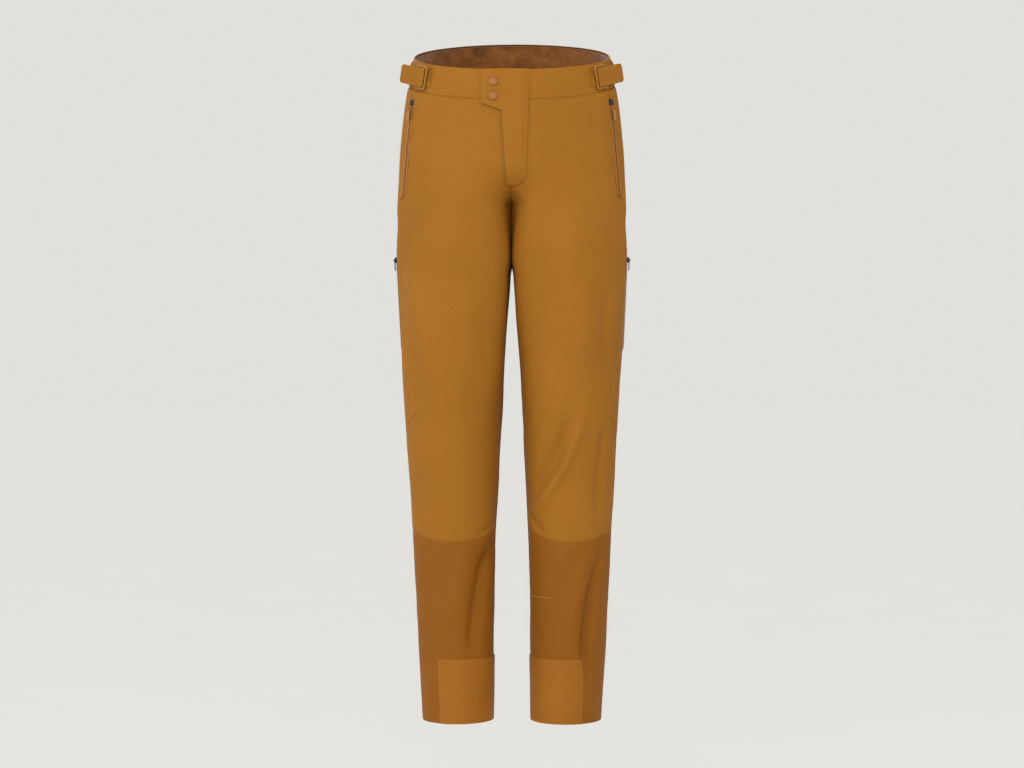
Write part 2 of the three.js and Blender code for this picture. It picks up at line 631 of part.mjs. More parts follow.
// Straight seat of the fly zip, behind the front panels on the middle line.
function flySeat() {
  const top = waistTop(1) - 6;
  const bottom = inseam + frontRiseHeight;
  const at = (z) => new THREE.Vector3(0, surface(1, 1, z).y, z);
  const up = at(top).sub(at(bottom));
  const frame = frameFrom(at(top), up, new THREE.Vector3(0, -1, 0));
  const zAxis = new THREE.Vector3().setFromMatrixColumn(frame, 2);
  const heights = spread(bottom, top, 16).map((z) => at(z).sub(at(top)).dot(zAxis));
  frame.setPosition(at(top).addScaledVector(zAxis, Math.min(...heights) - flyDepth));
  return { frame, length: up.length() };
}

// The fly tape with its two facings, which reach up to the front panels.
function flyTape(length) {
  const low = layerGap + tapeThickness / 2;
  const high = flyDepth - clothThickness - layerGap - facetDip / 2;
  const facing = (x) => new THREE.BoxGeometry(5, length, high - low)
    .translate(x, -length / 2, (high + low) / 2);
  const edge = flySizes.tape / 2 - 2.5;
  return fuse(fuse(zipTape(length, flySizes.tape), facing(edge)), facing(-edge));
}

function flyUnderlap(length) {
  const plate = new THREE.BoxGeometry(38, length - 2, 1.2);
  return plate.translate(3, -length / 2, -0.6);
}

piece('fly_flap', flyFlap(), 'softshell');
const flyPlace = flySeat();
zipSet('fly', 'centre', flyPlace, flySizes, warmKinds, flyTape);
piece('fly_underlap', flyUnderlap(flyPlace.length).applyMatrix4(flyPlace.frame), 'softshell');

// ---- Snaps ------------------------------------------------------------------------------------
const snap = { cap: 7.5, socket: 5, stud: 2 };
const snapX = -26;
const snapHeights = [waistTop(1) - 19, waistTop(1) - 41];

function frontSeat(x, z) {
  const { side, u } = flapPlace(x, z);
  return seat(side, u, z);
}

function snapCap() {
  const low = flapStandoff + flapThickness + layerGap;
  const rim = snap.cap;
  return turned([[0, low], [rim - 0.8, low], [rim, low + 0.6], [rim - 0.4, low + 1.6],
    [rim - 1.8, low + 1.6], [rim - 2.2, low + 1], [0, low + 1]], 20);
}

function snapSocket() {
  const high = flapStandoff - layerGap;
  const bore = snap.stud + 0.3;
  return turned([[bore, high - 1], [snap.socket, high - 1], [snap.socket, high], [bore, high]], 16);
}

function snapStud() {
  return turned([[0, layerGap], [snap.socket, layerGap], [snap.socket, layerGap + 0.5],
    [snap.stud, layerGap + 0.5], [snap.stud, 2], [0, 2]], 16);
}

snapHeights.forEach((z, i) => {
  const frame = frontSeat(snapX, z);
  const name = i === 0 ? 'upper' : 'lower';
  piece(`snap_cap_${name}`, snapCap().applyMatrix4(frame), 'copper');
  piece(`snap_socket_${name}`, snapSocket().applyMatrix4(frame), 'copper');
  piece(`snap_stud_${name}`, snapStud().applyMatrix4(frame), 'copper');
});

// ---- Waist adjusters --------------------------------------------------------------------------
const strapWidth = 29;
const strapThickness = 1.6;
const strapEndLength = 56;
const buckle = { length: 24, height: 37, bar: 3, thickness: 2.4 };
const buckleU = 0.36;
const strapBackU = -0.2;
const buckleMiddle = (u) => (bandBottom(u) + waistTop(u)) / 2 + 1;
const strapLift = layerGap + 0.2;          // under side of the strap above the waistband
const ringStandoff = 2;                     // room under the flat ring for the curve of the band
const ringBase = strapLift + strapThickness + layerGap + ringStandoff;
const strapEndBase = ringBase + buckle.thickness + layerGap;

// A strap round the hip in grid form, centred on the waistband.
function strapGrid(side, uFrom, uTo, height, cols) {
  return [-0.5, 0.5].map((row) => spread(uFrom, uTo, cols).map((u) => ({ side, u, z: buckleMiddle(u) + row * height })));
}

// Seat on the middle line of the waistband, with its X along the band.
function bandSeat(side, u) {
  const at = (v) => surface(side, v, buckleMiddle(v));
  const run = at(u + 0.01).sub(at(u - 0.01)).normalize();
  const up = new THREE.Vector3(0, 0, 1).addScaledVector(run, -run.z);
  return frameFrom(at(u), up, normal(side, u, buckleMiddle(u)));
}

function adjusterPieces(side, name) {
  const z = buckleMiddle(buckleU);
  const frame = bandSeat(side, buckleU);
  const forward = -side;                   // X of the seat that points to the front
  const halfRing = buckle.length / 2;
  const behindFront = uStep(buckleU, z, halfRing - buckle.bar - 1);
  const strap = strapGrid(side, strapBackU, buckleU + behindFront, strapWidth, 12);
  piece(`adjuster_strap_${name}`, clothLayer(strap, strapLift + strapThickness, strapThickness), 'softshell');
  const keeperFrom = buckleU + uStep(buckleU, z, halfRing - buckle.bar);
  const keeperTo = buckleU + uStep(buckleU, z, halfRing + 4);
  const keeper = strapGrid(side, keeperFrom, keeperTo, strapWidth - 3, 1);
  piece(`adjuster_keeper_${name}`, clothLayer(keeper, strapLift + strapThickness, strapThickness), 'softshell');
  const hole = { width: buckle.length - 2 * buckle.bar, height: buckle.height - 2 * buckle.bar, radius: 1.5 };
  const ring = roundedPlate(buckle.length, buckle.height, buckle.thickness, 4, hole);
  piece(`adjuster_buckle_${name}`, ring.translate(0, 0, ringBase).applyMatrix4(frame), 'buckle');
  const rootX = forward * (halfRing - buckle.bar - 0.6);
  const endMiddle = rootX - forward * strapEndLength / 2;
  const strapEnd = roundedPlate(strapEndLength, strapWidth, strapThickness, 5);
  piece(`adjuster_strap_end_${name}`, strapEnd.translate(endMiddle, 0, strapEndBase).applyMatrix4(frame), 'softshell');
  const hookX = rootX - forward * (strapEndLength - 17);
  const hook = roundedPlate(24, strapWidth - 6, 0.8, 3).translate(hookX, 0, strapEndBase - layerGap - 0.8);
  piece(`adjuster_hook_patch_${name}`, hook.applyMatrix4(frame), 'lining');
  const loop = strapGrid(side, strapBackU + 0.05, buckleU - 0.18, strapWidth - 6, 5);
  piece(`adjuster_loop_patch_${name}`, clothLayer(loop, strapLift + 2 * layerGap + strapThickness + 0.8, 0.8), 'lining');
}

adjusterPieces(1, 'left');
adjusterPieces(-1, 'right');

// The middle of the waist opening is the origin.
const waistMiddle = waistSide - bandHeight / 2;
for (const mesh of trousers.children) mesh.geometry.translate(0, 0, -waistMiddle);

export default trousers;
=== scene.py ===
"""Softshell mountain trousers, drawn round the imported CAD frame. The front faces -Y."""
import math

import bmesh
import bpy
import numpy as np
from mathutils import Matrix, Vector


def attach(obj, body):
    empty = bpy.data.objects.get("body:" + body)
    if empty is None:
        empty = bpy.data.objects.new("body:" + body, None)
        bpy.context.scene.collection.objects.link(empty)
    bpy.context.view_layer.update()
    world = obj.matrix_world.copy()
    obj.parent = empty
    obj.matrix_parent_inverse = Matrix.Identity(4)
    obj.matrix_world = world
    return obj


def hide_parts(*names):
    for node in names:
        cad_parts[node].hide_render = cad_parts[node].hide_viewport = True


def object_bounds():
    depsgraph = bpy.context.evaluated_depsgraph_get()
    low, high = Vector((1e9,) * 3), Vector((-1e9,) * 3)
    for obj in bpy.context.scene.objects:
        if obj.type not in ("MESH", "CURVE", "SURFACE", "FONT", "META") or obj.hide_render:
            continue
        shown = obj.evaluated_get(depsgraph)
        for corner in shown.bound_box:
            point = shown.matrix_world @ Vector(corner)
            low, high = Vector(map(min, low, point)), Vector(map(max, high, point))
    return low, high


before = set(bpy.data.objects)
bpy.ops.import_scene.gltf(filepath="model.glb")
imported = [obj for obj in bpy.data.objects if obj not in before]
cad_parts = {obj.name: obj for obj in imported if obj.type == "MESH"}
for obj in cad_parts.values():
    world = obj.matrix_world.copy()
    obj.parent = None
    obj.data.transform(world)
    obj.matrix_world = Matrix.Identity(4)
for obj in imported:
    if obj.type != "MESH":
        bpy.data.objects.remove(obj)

CAD_LOW, CAD_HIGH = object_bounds()
SIDES = ((1, "left"), (-1, "right"))       # the wearer's left is at +X

# ---- Sizes, in millimetres above the hems, as in the CAD -----------------------------------------
INSEAM = 800.0
RISE = 234.0
WAIST_SIDE = INSEAM + RISE
WAIST_DIP = 32.0
BAND_HEIGHT = 46.0
HEM_CENTRE = 85.0
LEG_GAP = 2.0
CLOTH = 1.6
SEAM_GAP = -0.2                            # the CAD's seams stand open, and these are sewn shut
LAYER_GAP = 0.3
FRONT_RISE_HEIGHT = 65.0
BACK_RISE_HEIGHT = 110.0
FLY_BOTTOM = INSEAM + 62                   # the slot ends at the zip's own foot
FLY_HALF_SLOT = 4.8
ORIGIN_Z = -CAD_LOW.z * 1000               # the waist opening's middle, above the hems

# Height, outer edge, inner edge, front depth and back depth of a leg, and above it of the hips.
STATIONS = np.array([
    (0, HEM_CENTRE + 55, HEM_CENTRE - 55, 74, 84),
    (0.2 * INSEAM, 149, 28, 70, 88),
    (0.36 * INSEAM, 155, 25, 73, 86),
    (0.55 * INSEAM, 91 + 73, 91 - 73, 85, 80),
    (0.73 * INSEAM, 172, 10, 92, 92),
    (0.89 * INSEAM, 89 + 88, LEG_GAP / 2, 100, 104),
    (INSEAM, 174 + 3, LEG_GAP / 2, 106, 120),
    (INSEAM + 0.38 * RISE, 174, LEG_GAP / 2, 106, 126),
    (INSEAM + 0.7 * RISE, 165, LEG_GAP / 2, 101, 117),
    (WAIST_SIDE, 153, LEG_GAP / 2, 94, 106),
    (WAIST_SIDE + WAIST_DIP, 153 - 3, LEG_GAP / 2, 91, 102),
])
OUTER, INNER, FRONT, BACK = 1, 2, 3, 4


def link(name, data):
    """New object in the scene."""
    obj = bpy.data.objects.new(name, data)
    bpy.context.scene.collection.objects.link(obj)
    return obj


# ---- Camera ---------------------------------------------------------------------------------------
def make_camera():
    """Looks level at the front from four metres, a little from the wearer's left."""
    data = bpy.data.cameras.new("camera")
    data.sensor_width = 36
    data.lens = 90
    camera = link("camera", data)
    distance, yaw = 4.0, math.radians(1.5)
    aim = Vector((0, 0, CAD_LOW.z + 0.522))
    camera.location = aim + distance * Vector((math.sin(yaw), -math.cos(yaw), 0))
    camera.rotation_euler = (aim - camera.location).to_track_quat("-Z", "Y").to_euler()
    bpy.context.scene.camera = camera


make_camera()


# ---- Trouser surface ------------------------------------------------------------------------------
def smoothstep(x, low, high):
    t = np.clip((x - low) / (high - low), 0, 1)
    return t * t * (3 - 2 * t)


def lerp(a, b, t):
    return a + (b - a) * t


def bell(distance, width):
    return np.exp(-(distance / width) ** 2)


def hermite(a, b, slope_a, slope_b, t):
    """Smooth curve from a to b with these slopes at its ends, at t from 0 to 1."""
    return ((2 * t ** 3 - 3 * t ** 2 + 1) * a + (t ** 3 - 2 * t ** 2 + t) * slope_a
            + (3 * t ** 2 - 2 * t ** 3) * b + (t ** 3 - t ** 2) * slope_b)


def lengths(points, axis):
    """Lengths of the steps between neighbouring points along an axis."""
    return np.linalg.norm(np.diff(points, axis=axis), axis=-1)


def along(column, z):
    """Smooth value of one station column at the heights z."""
    z = np.asarray(z, float)
    zs, v = STATIONS[:, 0], STATIONS[:, column]
    last = len(zs) - 1
    i = np.clip(np.searchsorted(zs[1:], z), 0, last - 1)
    before, after = np.maximum(i - 1, 0), np.minimum(i + 2, last)
    span = zs[i + 1] - zs[i]
    slope_low = (v[i + 1] - v[before]) / (zs[i + 1] - zs[before]) * span
    slope_high = (v[after] - v[i]) / (zs[after] - zs[i]) * span
    return hermite(v[i], v[i + 1], slope_low, slope_high, (z - zs[i]) / span)


def opened(u, z):
    """How far the section at z has opened from a leg, 0, to the hips, 1."""
    height = np.where(u >= 0, FRONT_RISE_HEIGHT, BACK_RISE_HEIGHT)
    k = np.clip((z - INSEAM) / height, 0, 1)
    gentle = smoothstep(z, INSEAM - 1.2 * height, INSEAM + height)
    return lerp(gentle, np.sqrt(k * (2 - k)), np.abs(u) ** 8)


def surface(side, u, z):
    """Points of the cloth. u runs from -1, the inseam or centre back, through 0, the outseam, to 1.

    side is 1 or -1, or an array of both.
    """
    u, z = np.broadcast_arrays(np.asarray(u, float), np.asarray(z, float))
    outer, inner = along(OUTER, z), along(INNER, z)
    depth = np.where(u >= 0, along(FRONT, z), along(BACK, z))
    w = opened(u, z)
    angle = np.pi * np.abs(u)
    leg_x = (outer + inner) / 2 + (outer - inner) / 2 * np.cos(angle)
    x = np.maximum((1 - w) * leg_x + w * outer * np.cos(angle / 2), SEAM_GAP / 2)
    y = (1 - w) * np.sin(angle) + w * np.sin(angle / 2)
    return np.stack([side * x, np.where(u >= 0, -1, 1) * depth * y, z], -1)


def unit(v):
    return v / np.maximum(np.linalg.norm(v, axis=-1, keepdims=True), 1e-12)


def normal(side, u, z):
    """Outward normals of the cloth."""
    du, dz = 0.004, 0.6
    u, z = np.broadcast_arrays(np.asarray(u, float), np.asarray(z, float))
    across = surface(side, np.minimum(u + du, 1), z) - surface(side, np.maximum(u - du, -1), z)
    up = surface(side, u, z + dz) - surface(side, u, z - dz)
    return unit(np.cross(across, up) * -np.asarray(side)[..., None])


def girth_table():
    """Length of cloth from the outseam to the inseam or centre line, in front and behind, at levels."""
    levels = np.linspace(0, WAIST_SIDE + WAIST_DIP, 90)
    halves = [surface(1, np.linspace(0, end, 65)[None, :], levels[:, None]) for end in (1, -1)]
    return levels, [lengths(points, 1).sum(1) for points in halves]


LEVELS, GIRTHS = girth_table()


def girth(u, z):
    front, back = (np.interp(z, LEVELS, g) for g in GIRTHS)
    return np.where(np.asarray(u) >= 0, front, back)


def waist_top(u):
    return WAIST_SIDE - WAIST_DIP * np.sin(np.pi * np.asarray(u, float) / 2)


def band_bottom(u):
    return waist_top(u) - BAND_HEIGHT


def u_at(x, z, facing=1):
    """The u of the points x from the middle at height z, in front (facing 1) or behind (-1)."""
    low, high = np.full(np.shape(x), 0.05), np.ones(np.shape(x))
    for _ in range(24):
        middle = (low + high) / 2
        outside = surface(1, facing * middle, z)[..., 0] > np.abs(x)
        low, high = np.where(outside, middle, low), np.where(outside, high, middle)
    return facing * (low + high) / 2


def line_at(points, z):
    """Value at z of a line through (z, value) pairs in falling z."""
    pairs = np.array(points[::-1], float)
    return np.interp(z, pairs[:, 0], pairs[:, 1])


# ---- Folds ----------------------------------------------------------------------------------------
def curve_through(points, count=28):
    """Smooth polyline through a few points."""
    slopes = np.gradient(points, axis=0)
    t = np.linspace(0, len(points) - 1, count)
    i = np.minimum(t.astype(int), len(points) - 2)
    return hermite(points[i], points[i + 1], slopes[i], slopes[i + 1], (t - i)[:, None])


def near_curve(s, z, curve):
    """Distance to a polyline and how far along it the nearest point lies, 0 to 1."""
    best, where = np.full(s.shape, 1e9), np.zeros(s.shape)
    for k in range(len(curve) - 1):
        a, d = curve[k], curve[k + 1] - curve[k]
        t = np.clip(((s - a[0]) * d[0] + (z - a[1]) * d[1]) / (d @ d), 0, 1)
        distance = np.hypot(s - a[0] - t * d[0], z - a[1] - t * d[1])
        closer = distance < best
        best = np.where(closer, distance, best)
        where = np.where(closer, (k + t) / (len(curve) - 1), where)
    return best, where


# Folds of the cloth: side, facing, height, half width, and points (distance from the middle, height).
FOLDS = [
    # the wearer's right leg: a long soft ridge down the outer thigh with a hollow outside it
    (-1, 1, 4.6, 16, [(160, 720), (146, 640), (124, 555), (101, 492)]),
    (-1, 1, -5.0, 14, [(158, 600), (150, 530), (134, 470)]),
    (-1, 1, 2.6, 20, [(70, 700), (62, 600), (66, 520)]),
    # and the hollow down the inner calf
    (-1, 1, -9.5, 13, [(22, 300), (38, 250), (50, 190), (57, 130), (58, 90)]),
    (-1, 1, 3.0, 14, [(66, 280), (80, 210), (86, 140)]),
    # the wearer's left leg: a ridge from the outer knee to the inner knee seam, hollow above it
    (1, 1, 6.6, 9, [(124, 520), (101, 440), (76, 384), (46, 338), (28, 310)]),
    (1, 1, -7.2, 13, [(96, 492), (74, 424), (48, 378), (30, 352)]),
    (1, 1, -5.4, 9, [(149, 480), (141, 424), (134, 350), (138, 300)]),
    (1, 1, 3.2, 16, [(120, 700), (112, 610), (118, 540)]),
    (1, 1, -3.6, 12, [(150, 690), (146, 600), (150, 530)]),
    # the sharp hollow down the outer calf, with a ridge in front of it
    (1, 1, -11.0, 9, [(148, 300), (128, 216), (117, 150), (114, 108), (124, 44)]),
    (1, 1, 4.0, 12, [(122, 280), (102, 190), (94, 130)]),
    # creases where the knee seam meets the inseam
    (1, 1, -2.8, 4, [(26, 330), (38, 306), (52, 288)]),
    (1, 1, 2.6, 4, [(26, 318), (36, 300), (46, 288)]),
    (1, 1, -2.4, 3.5, [(24, 306), (34, 294)]),
    (-1, 1, -2.2, 5, [(24, 318), (40, 296), (58, 284)]),
    # the small star of creases under the fly
    (-1, 1, -2.6, 3.0, [(1, 824), (8, 812), (17, 806)]),
    (-1, 1, -2.0, 2.6, [(1, 816), (6, 800), (9, 788)]),
    (1, 1, -2.4, 3.0, [(1, 826), (7, 812), (15, 803)]),
    (1, 1, 1.6, 3.6, [(4, 830), (14, 818), (24, 814)]),
    (-1, 1, 1.6, 3.6, [(5, 818), (14, 800), (22, 780)]),
    # soft pulls from the fly to the hips
    (-1, 1, -1.4, 16, [(40, 858), (80, 890), (128, 900)]),
    (1, 1, -1.2, 16, [(42, 846), (86, 870), (132, 876)]),
    (-1, 1, 1.2, 15, [(60, 935), (100, 946), (138, 940)]),
    # behind: under the seat, and the crossed creases at the back of the knee
    (1, -1, -6.3, 11, [(6, 806), (48, 776), (98, 772), (142, 800)]),
    (-1, -1, -6.3, 11, [(6, 804), (46, 772), (94, 768), (140, 792)]),
    (1, -1, 3.9, 14, [(14, 838), (60, 812), (110, 808)]),
    (-1, -1, 3.9, 14, [(14, 836), (58, 806), (108, 802)]),
    (1, -1, -3.9, 8, [(30, 742), (70, 728), (110, 738)]),
    (-1, -1, -3.9, 8, [(26, 736), (66, 722), (104, 730)]),
    (1, -1, -5.4, 9, [(36, 452), (84, 428), (132, 446)]),
    (-1, -1, -5.4, 9, [(40, 446), (86, 424), (136, 450)]),
    (1, -1, 4.5, 9, [(44, 424), (90, 402), (130, 418)]),
    (-1, -1, 4.5, 9, [(40, 418), (84, 398), (128, 420)]),
    (1, -1, -4.2, 8, [(52, 396), (92, 376), (126, 384)]),
    (-1, -1, -4.2, 8, [(48, 392), (86, 372), (122, 380)]),
    (1, -1, -4.5, 13, [(112, 700), (106, 600), (112, 500)]),
    (-1, -1, -4.5, 13, [(108, 690), (114, 590), (106, 500)]),
    (1, -1, -6.0, 14, [(60, 330), (72, 220), (66, 110)]),
    (-1, -1, -6.0, 14, [(64, 340), (74, 230), (70, 120)]),
]

# The two short stitched darts over the wearer's right knee.
KNEE_DARTS = [
    (-1, 1, -0.8, 2.2, [(36, 463), (66, 461), (99, 466)]),
    (-1, 1, -0.8, 2.2, [(61, 444), (76, 442), (92, 446)]),
]


def lattice_noise(x, y, seed):
    """Smooth noise in -1 to 1, one cell to a unit."""
    table = np.random.default_rng(seed).uniform(-1, 1, (64, 64))
    i, j = np.floor(x).astype(int), np.floor(y).astype(int)
    fx, fy = smoothstep(x - i, 0, 1), smoothstep(y - j, 0, 1)

    def at(a, b):
        return table[(i + a) % 64, (j + b) % 64]

    return lerp(lerp(at(0, 0), at(1, 0), fx), lerp(at(0, 1), at(1, 1), fx), fy)


def drape(side, u, z):
    """Height of the folds over the plain surface, in millimetres."""
    s = u * girth(u, z)
    height = np.zeros(s.shape)
    for fold_side, facing, size, width, points in FOLDS + KNEE_DARTS:
        if fold_side != side:
            continue
        p = np.array(points, float)
        fold_u = u_at(p[:, 0], p[:, 1], facing)
        curve = curve_through(np.stack([fold_u * girth(fold_u, p[:, 1]), p[:, 1]], 1))
        distance, where = near_curve(s, z, curve)
        fade = smoothstep(where, 0, 0.3) * (1 - smoothstep(where, 0.7, 1))
        end_fade = np.maximum(fade, 0.12 * (1 - fade))
        height += size * end_fade * bell(distance, width)
    # long soft drapes down the legs, and shorter unevenness everywhere
    legs = 1 - smoothstep(z, 760, 900)
    seed = 11 if side > 0 else 23
    height += 1.5 * legs * lattice_noise(s / 46 + 20, z / 230 + 5, seed)
    height += 0.7 * lattice_noise(s / 38 + 9, z / 60 + 9, seed + 1)
    height += 0.25 * lattice_noise(s / 15 + 3, z / 24 + 3, seed + 2)
    # the front of the thighs is squarer than an ellipse where they press together
    pressed = smoothstep(z, 440, 660) * (1 - smoothstep(z, 785, 850))
    height += np.where(u > 0, 10, 6) * pressed * bell(np.abs(u) - 0.8, 0.13)
    # the waistband and the hems are stiffer
    height *= 1 - smoothstep(z, band_bottom(u) - 46, band_bottom(u) - 6)
    height *= lerp(0.35, 1, smoothstep(z, 0, 60))
    # the cloth between the legs keeps its place
    middle = np.abs(surface(side, u, z)[..., 0])
    return height * lerp(0.4, 1, smoothstep(middle, 2, 16))


# ---- Seats for hardware ---------------------------------------------------------------------------
def frame_from(origin, up, outward):
    """Columns X across, Y up along the cloth, Z outward, and the origin."""
    y = unit(up)
    z = unit(outward - (outward @ y) * y)
    return np.stack([np.cross(y, z), y, z, origin], 1)


def seat(side, u, z):
    up = surface(side, u, z + 1) - surface(side, u, z - 1)
    return frame_from(surface(side, u, z), up, normal(side, u, z))


def place(frame4, points):
    """Points given in a seat's own X, Y, Z, in the garment."""
    points = np.asarray(points, float)
    return frame4[:, 3] + points @ frame4[:, :3].T


def local(frame4, points):
    return (points - frame4[:, 3]) @ frame4[:, :3]


def u_step(u, z, length):
    a, b = max(u - 0.05, -1), min(u + 0.05, 1)
    return length * (b - a) / np.linalg.norm(surface(1, b, z) - surface(1, a, z))


def straight_seat(side, top, bottom, half_width):
    """Seat of a zip between two (u, z) places, just clear of the curved cloth, and its length."""
    start, end = surface(side, *top), surface(side, *bottom)
    outward = normal(side, *top) + normal(side, *bottom)
    frame4 = frame_from(start, start - end, outward)
    heights = []
    for t in np.linspace(0, 1, 13):
        u, z = lerp(top[0], bottom[0], t), lerp(top[1], bottom[1], t)
        for reach in (-half_width, 0, half_width):
            side_u = np.clip(u + u_step(u, z, reach), -1, 1)
            heights.append((surface(side, side_u, z) - start) @ frame4[:, 2])
    frame4[:, 3] = start + frame4[:, 2] * max(heights)
    return frame4, np.linalg.norm(start - end)


HAND_TOP, HAND_BOTTOM = (0.262, INSEAM + 0.65 * RISE), (0.2, INSEAM + 12)
THIGH_TOP, THIGH_BOTTOM = (0.03, 0.9 * INSEAM), (-0.05, 0.72 * INSEAM)
HAND_TAPE, THIGH_TAPE, FLY_TAPE = 12.0, 11.0, 24.0
HAND_SEATS = {side: straight_seat(side, HAND_TOP, HAND_BOTTOM, HAND_TAPE / 2) for side, _ in SIDES}
THIGH_SEATS = {side: straight_seat(side, THIGH_TOP, THIGH_BOTTOM, THIGH_TAPE / 2) for side, _ in SIDES}


def lay_to_zips(side, points, below):
    """Brings the cloth round a pocket zip to the zip's own straight line, with a lip on each side.

    What lies deeper than the outer cloth keeps its distance below it, and has no lip.
    """
    for (frame4, length), tape in ((HAND_SEATS[side], HAND_TAPE), (THIGH_SEATS[side], THIGH_TAPE)):
        p = local(frame4, points)
        across = np.abs(p[..., 0])
        past_end = np.maximum(np.maximum(p[..., 1] - 12, -length - 4 - p[..., 1]), 0)
        near = 1 - smoothstep(np.hypot(np.maximum(across - tape / 2 - 2, 0), 0.6 * past_end), 0, 34)
        near *= p[..., 2] > -60
        bed = 1 - smoothstep(past_end, 0, 7)
        lip = 1.2 * bell(across - tape / 2 - 1.4, 1.5)
        under = 1.2 * (1 - smoothstep(across, tape / 2 - 1.4, tape / 2 + 0.4))
        goal = np.where(below > 0, -1.4 - below, bed * (lip - under) - 0.15)
        p[..., 2] = lerp(p[..., 2], goal, near)
        points = place(frame4, p)
    return points


# ---- Materials ------------------------------------------------------------------------------------
def linear(r, g, b):
    """Linear colour of an sRGB one given in 0 to 255."""
    return tuple((c / 255 / 12.92) if c / 255 <= 0.04045 else ((c / 255 + 0.055) / 1.055) ** 2.4
                 for c in (r, g, b))


class Nodes:
    """A material under construction, with short ways to add nodes."""

    def __init__(self, name):
        self.material = bpy.data.materials.new(name)
        self.material.use_nodes = True
        self.tree = self.material.node_tree
        self.shader = self.tree.nodes["Principled BSDF"]

    def add(self, kind, inputs=None, **fields):
        node = self.tree.nodes.new(kind)
        for key, value in fields.items():
            setattr(node, key, value)
        for key, value in (inputs or {}).items():
            self.put(node.inputs[key], value)
        return node

    def put(self, socket, value):
        if isinstance(value, bpy.types.NodeSocket):
            self.tree.links.new(value, socket)
        else:
            socket.default_value = value

    def math(self, operation, *values):
        node = self.add("ShaderNodeMath", operation=operation)
        for i, value in enumerate(values):
            self.put(node.inputs[i], value)
        return node.outputs[0]

    def where(self):
        """The place in the object's own frame, in metres."""
        return self.add("ShaderNodeTexCoord").outputs["Object"]

    def cloth_uv(self):
        """The two directions of the cloth, in metres along it."""
        uv = self.add("ShaderNodeUVMap", uv_map="cloth").outputs[0]
        split = self.add("ShaderNodeSeparateXYZ", {0: uv})
        return split.outputs[0], split.outputs[1]

    def sine(self, value, period):
        return self.math("SINE", self.math("MULTIPLY", value, 2 * math.pi / period))

    def noise(self, scale, detail=2.0, roughness=0.5):
        inputs = {"Vector": self.where(), "Scale": scale, "Detail": detail, "Roughness": roughness}
        return self.add("ShaderNodeTexNoise", inputs).outputs["Fac"]

    def ramp(self, factor, *stops):
        node = self.add("ShaderNodeValToRGB", {"Fac": factor})
        elements = node.color_ramp.elements
        while len(elements) < len(stops):
            elements.new(0.5)
        for element, (at, colour) in zip(elements, stops):
            element.position = at
            element.color = (*colour, 1)
        return node.outputs["Color"]

    def shade(self, factor, colour, dark, light, low=0.3, high=0.7):
        """The colour from a darker to a lighter share of itself, along a factor."""
        return self.ramp(factor, (low, scaled(colour, dark)), (high, scaled(colour, light)))

    def mix(self, factor, a, b, kind="MIX"):
        node = self.add("ShaderNodeMix", data_type="RGBA", blend_type=kind)
        self.put(node.inputs["Factor"], factor)
        self.put(node.inputs[6], a)
        self.put(node.inputs[7], b if isinstance(b, bpy.types.NodeSocket) else (*b, 1))
        return node.outputs[2]

    def worn(self, base, colour, low, high, amount):
        """The base colour, turning to another one on the edges that stand out."""
        edges = self.add("ShaderNodeNewGeometry").outputs["Pointiness"]
        return self.mix(self.ramp(edges, (low, grey(0)), (high, grey(amount))), base, colour)

    def bump(self, height, strength, distance, before=None):
        inputs = {"Height": height, "Strength": strength, "Distance": distance}
        if before is not None:
            inputs["Normal"] = before
        return self.add("ShaderNodeBump", inputs).outputs["Normal"]

    def set(self, **values):
        for key, value in values.items():
            self.put(self.shader.inputs[key.replace("_", " ")], value)


def scaled(colour, by):
    return tuple(min(c * by, 1) for c in colour)


def grey(value):
    return (value,) * 3


def cloth_material(name, colour, period=0.0010, rough=0.75, sheen=0.04, depth=0.00006):
    """Tight softshell weave: a fine twill, a faint cloudiness and slightly worn high places."""
    m = Nodes(name)
    across, up = m.cloth_uv()
    grain = m.noise(420, 2, 0.6)
    base = m.shade(m.noise(9, 3, 0.6), colour, 0.95, 1.05)
    fibre = m.ramp(grain, (0.3, grey(0.93)), (0.7, grey(1.05)))
    tinted = m.mix(1.0, base, fibre, "MULTIPLY")
    m.set(Base_Color=m.worn(tinted, scaled(colour, 1.22), 0.52, 0.62, 0.35))
    m.set(Roughness=m.math("MULTIPLY_ADD", grain, 0.12, rough - 0.06))
    yarn = m.math("MULTIPLY", m.sine(across, period / 2.3), 0.4)
    twill = m.math("ADD", m.sine(m.math("ADD", across, up), period), yarn)
    m.set(Normal=m.bump(m.noise(260), 0.25, 0.0003, m.bump(twill, 0.5, depth)))
    m.set(Specular_IOR_Level=0.14, Sheen_Weight=sheen, Sheen_Roughness=0.45)
    m.set(Sheen_Tint=(*scaled(colour, 1.6), 1))
    return m.material


def brushed_material(name, colour, contrast=0.45, scale=38):
    """Napped lining: mottled, soft and matt."""
    m = Nodes(name)
    patches, fuzz = m.noise(scale, 4, 0.7), m.noise(900, 2, 0.7)
    base = m.ramp(patches, (0.32, scaled(colour, 1 - contrast)), (0.55, colour),
                  (0.78, scaled(colour, 1 + contrast)))
    fibre = m.ramp(fuzz, (0.3, grey(0.8)), (0.7, grey(1.1)))
    m.set(Base_Color=m.mix(1.0, base, fibre, "MULTIPLY"))
    m.set(Roughness=0.95, Specular_IOR_Level=0.1, Sheen_Weight=0.35, Sheen_Roughness=0.5)
    m.set(Normal=m.bump(fuzz, 0.7, 0.0004, m.bump(patches, 0.6, 0.0016)))
    return m.material


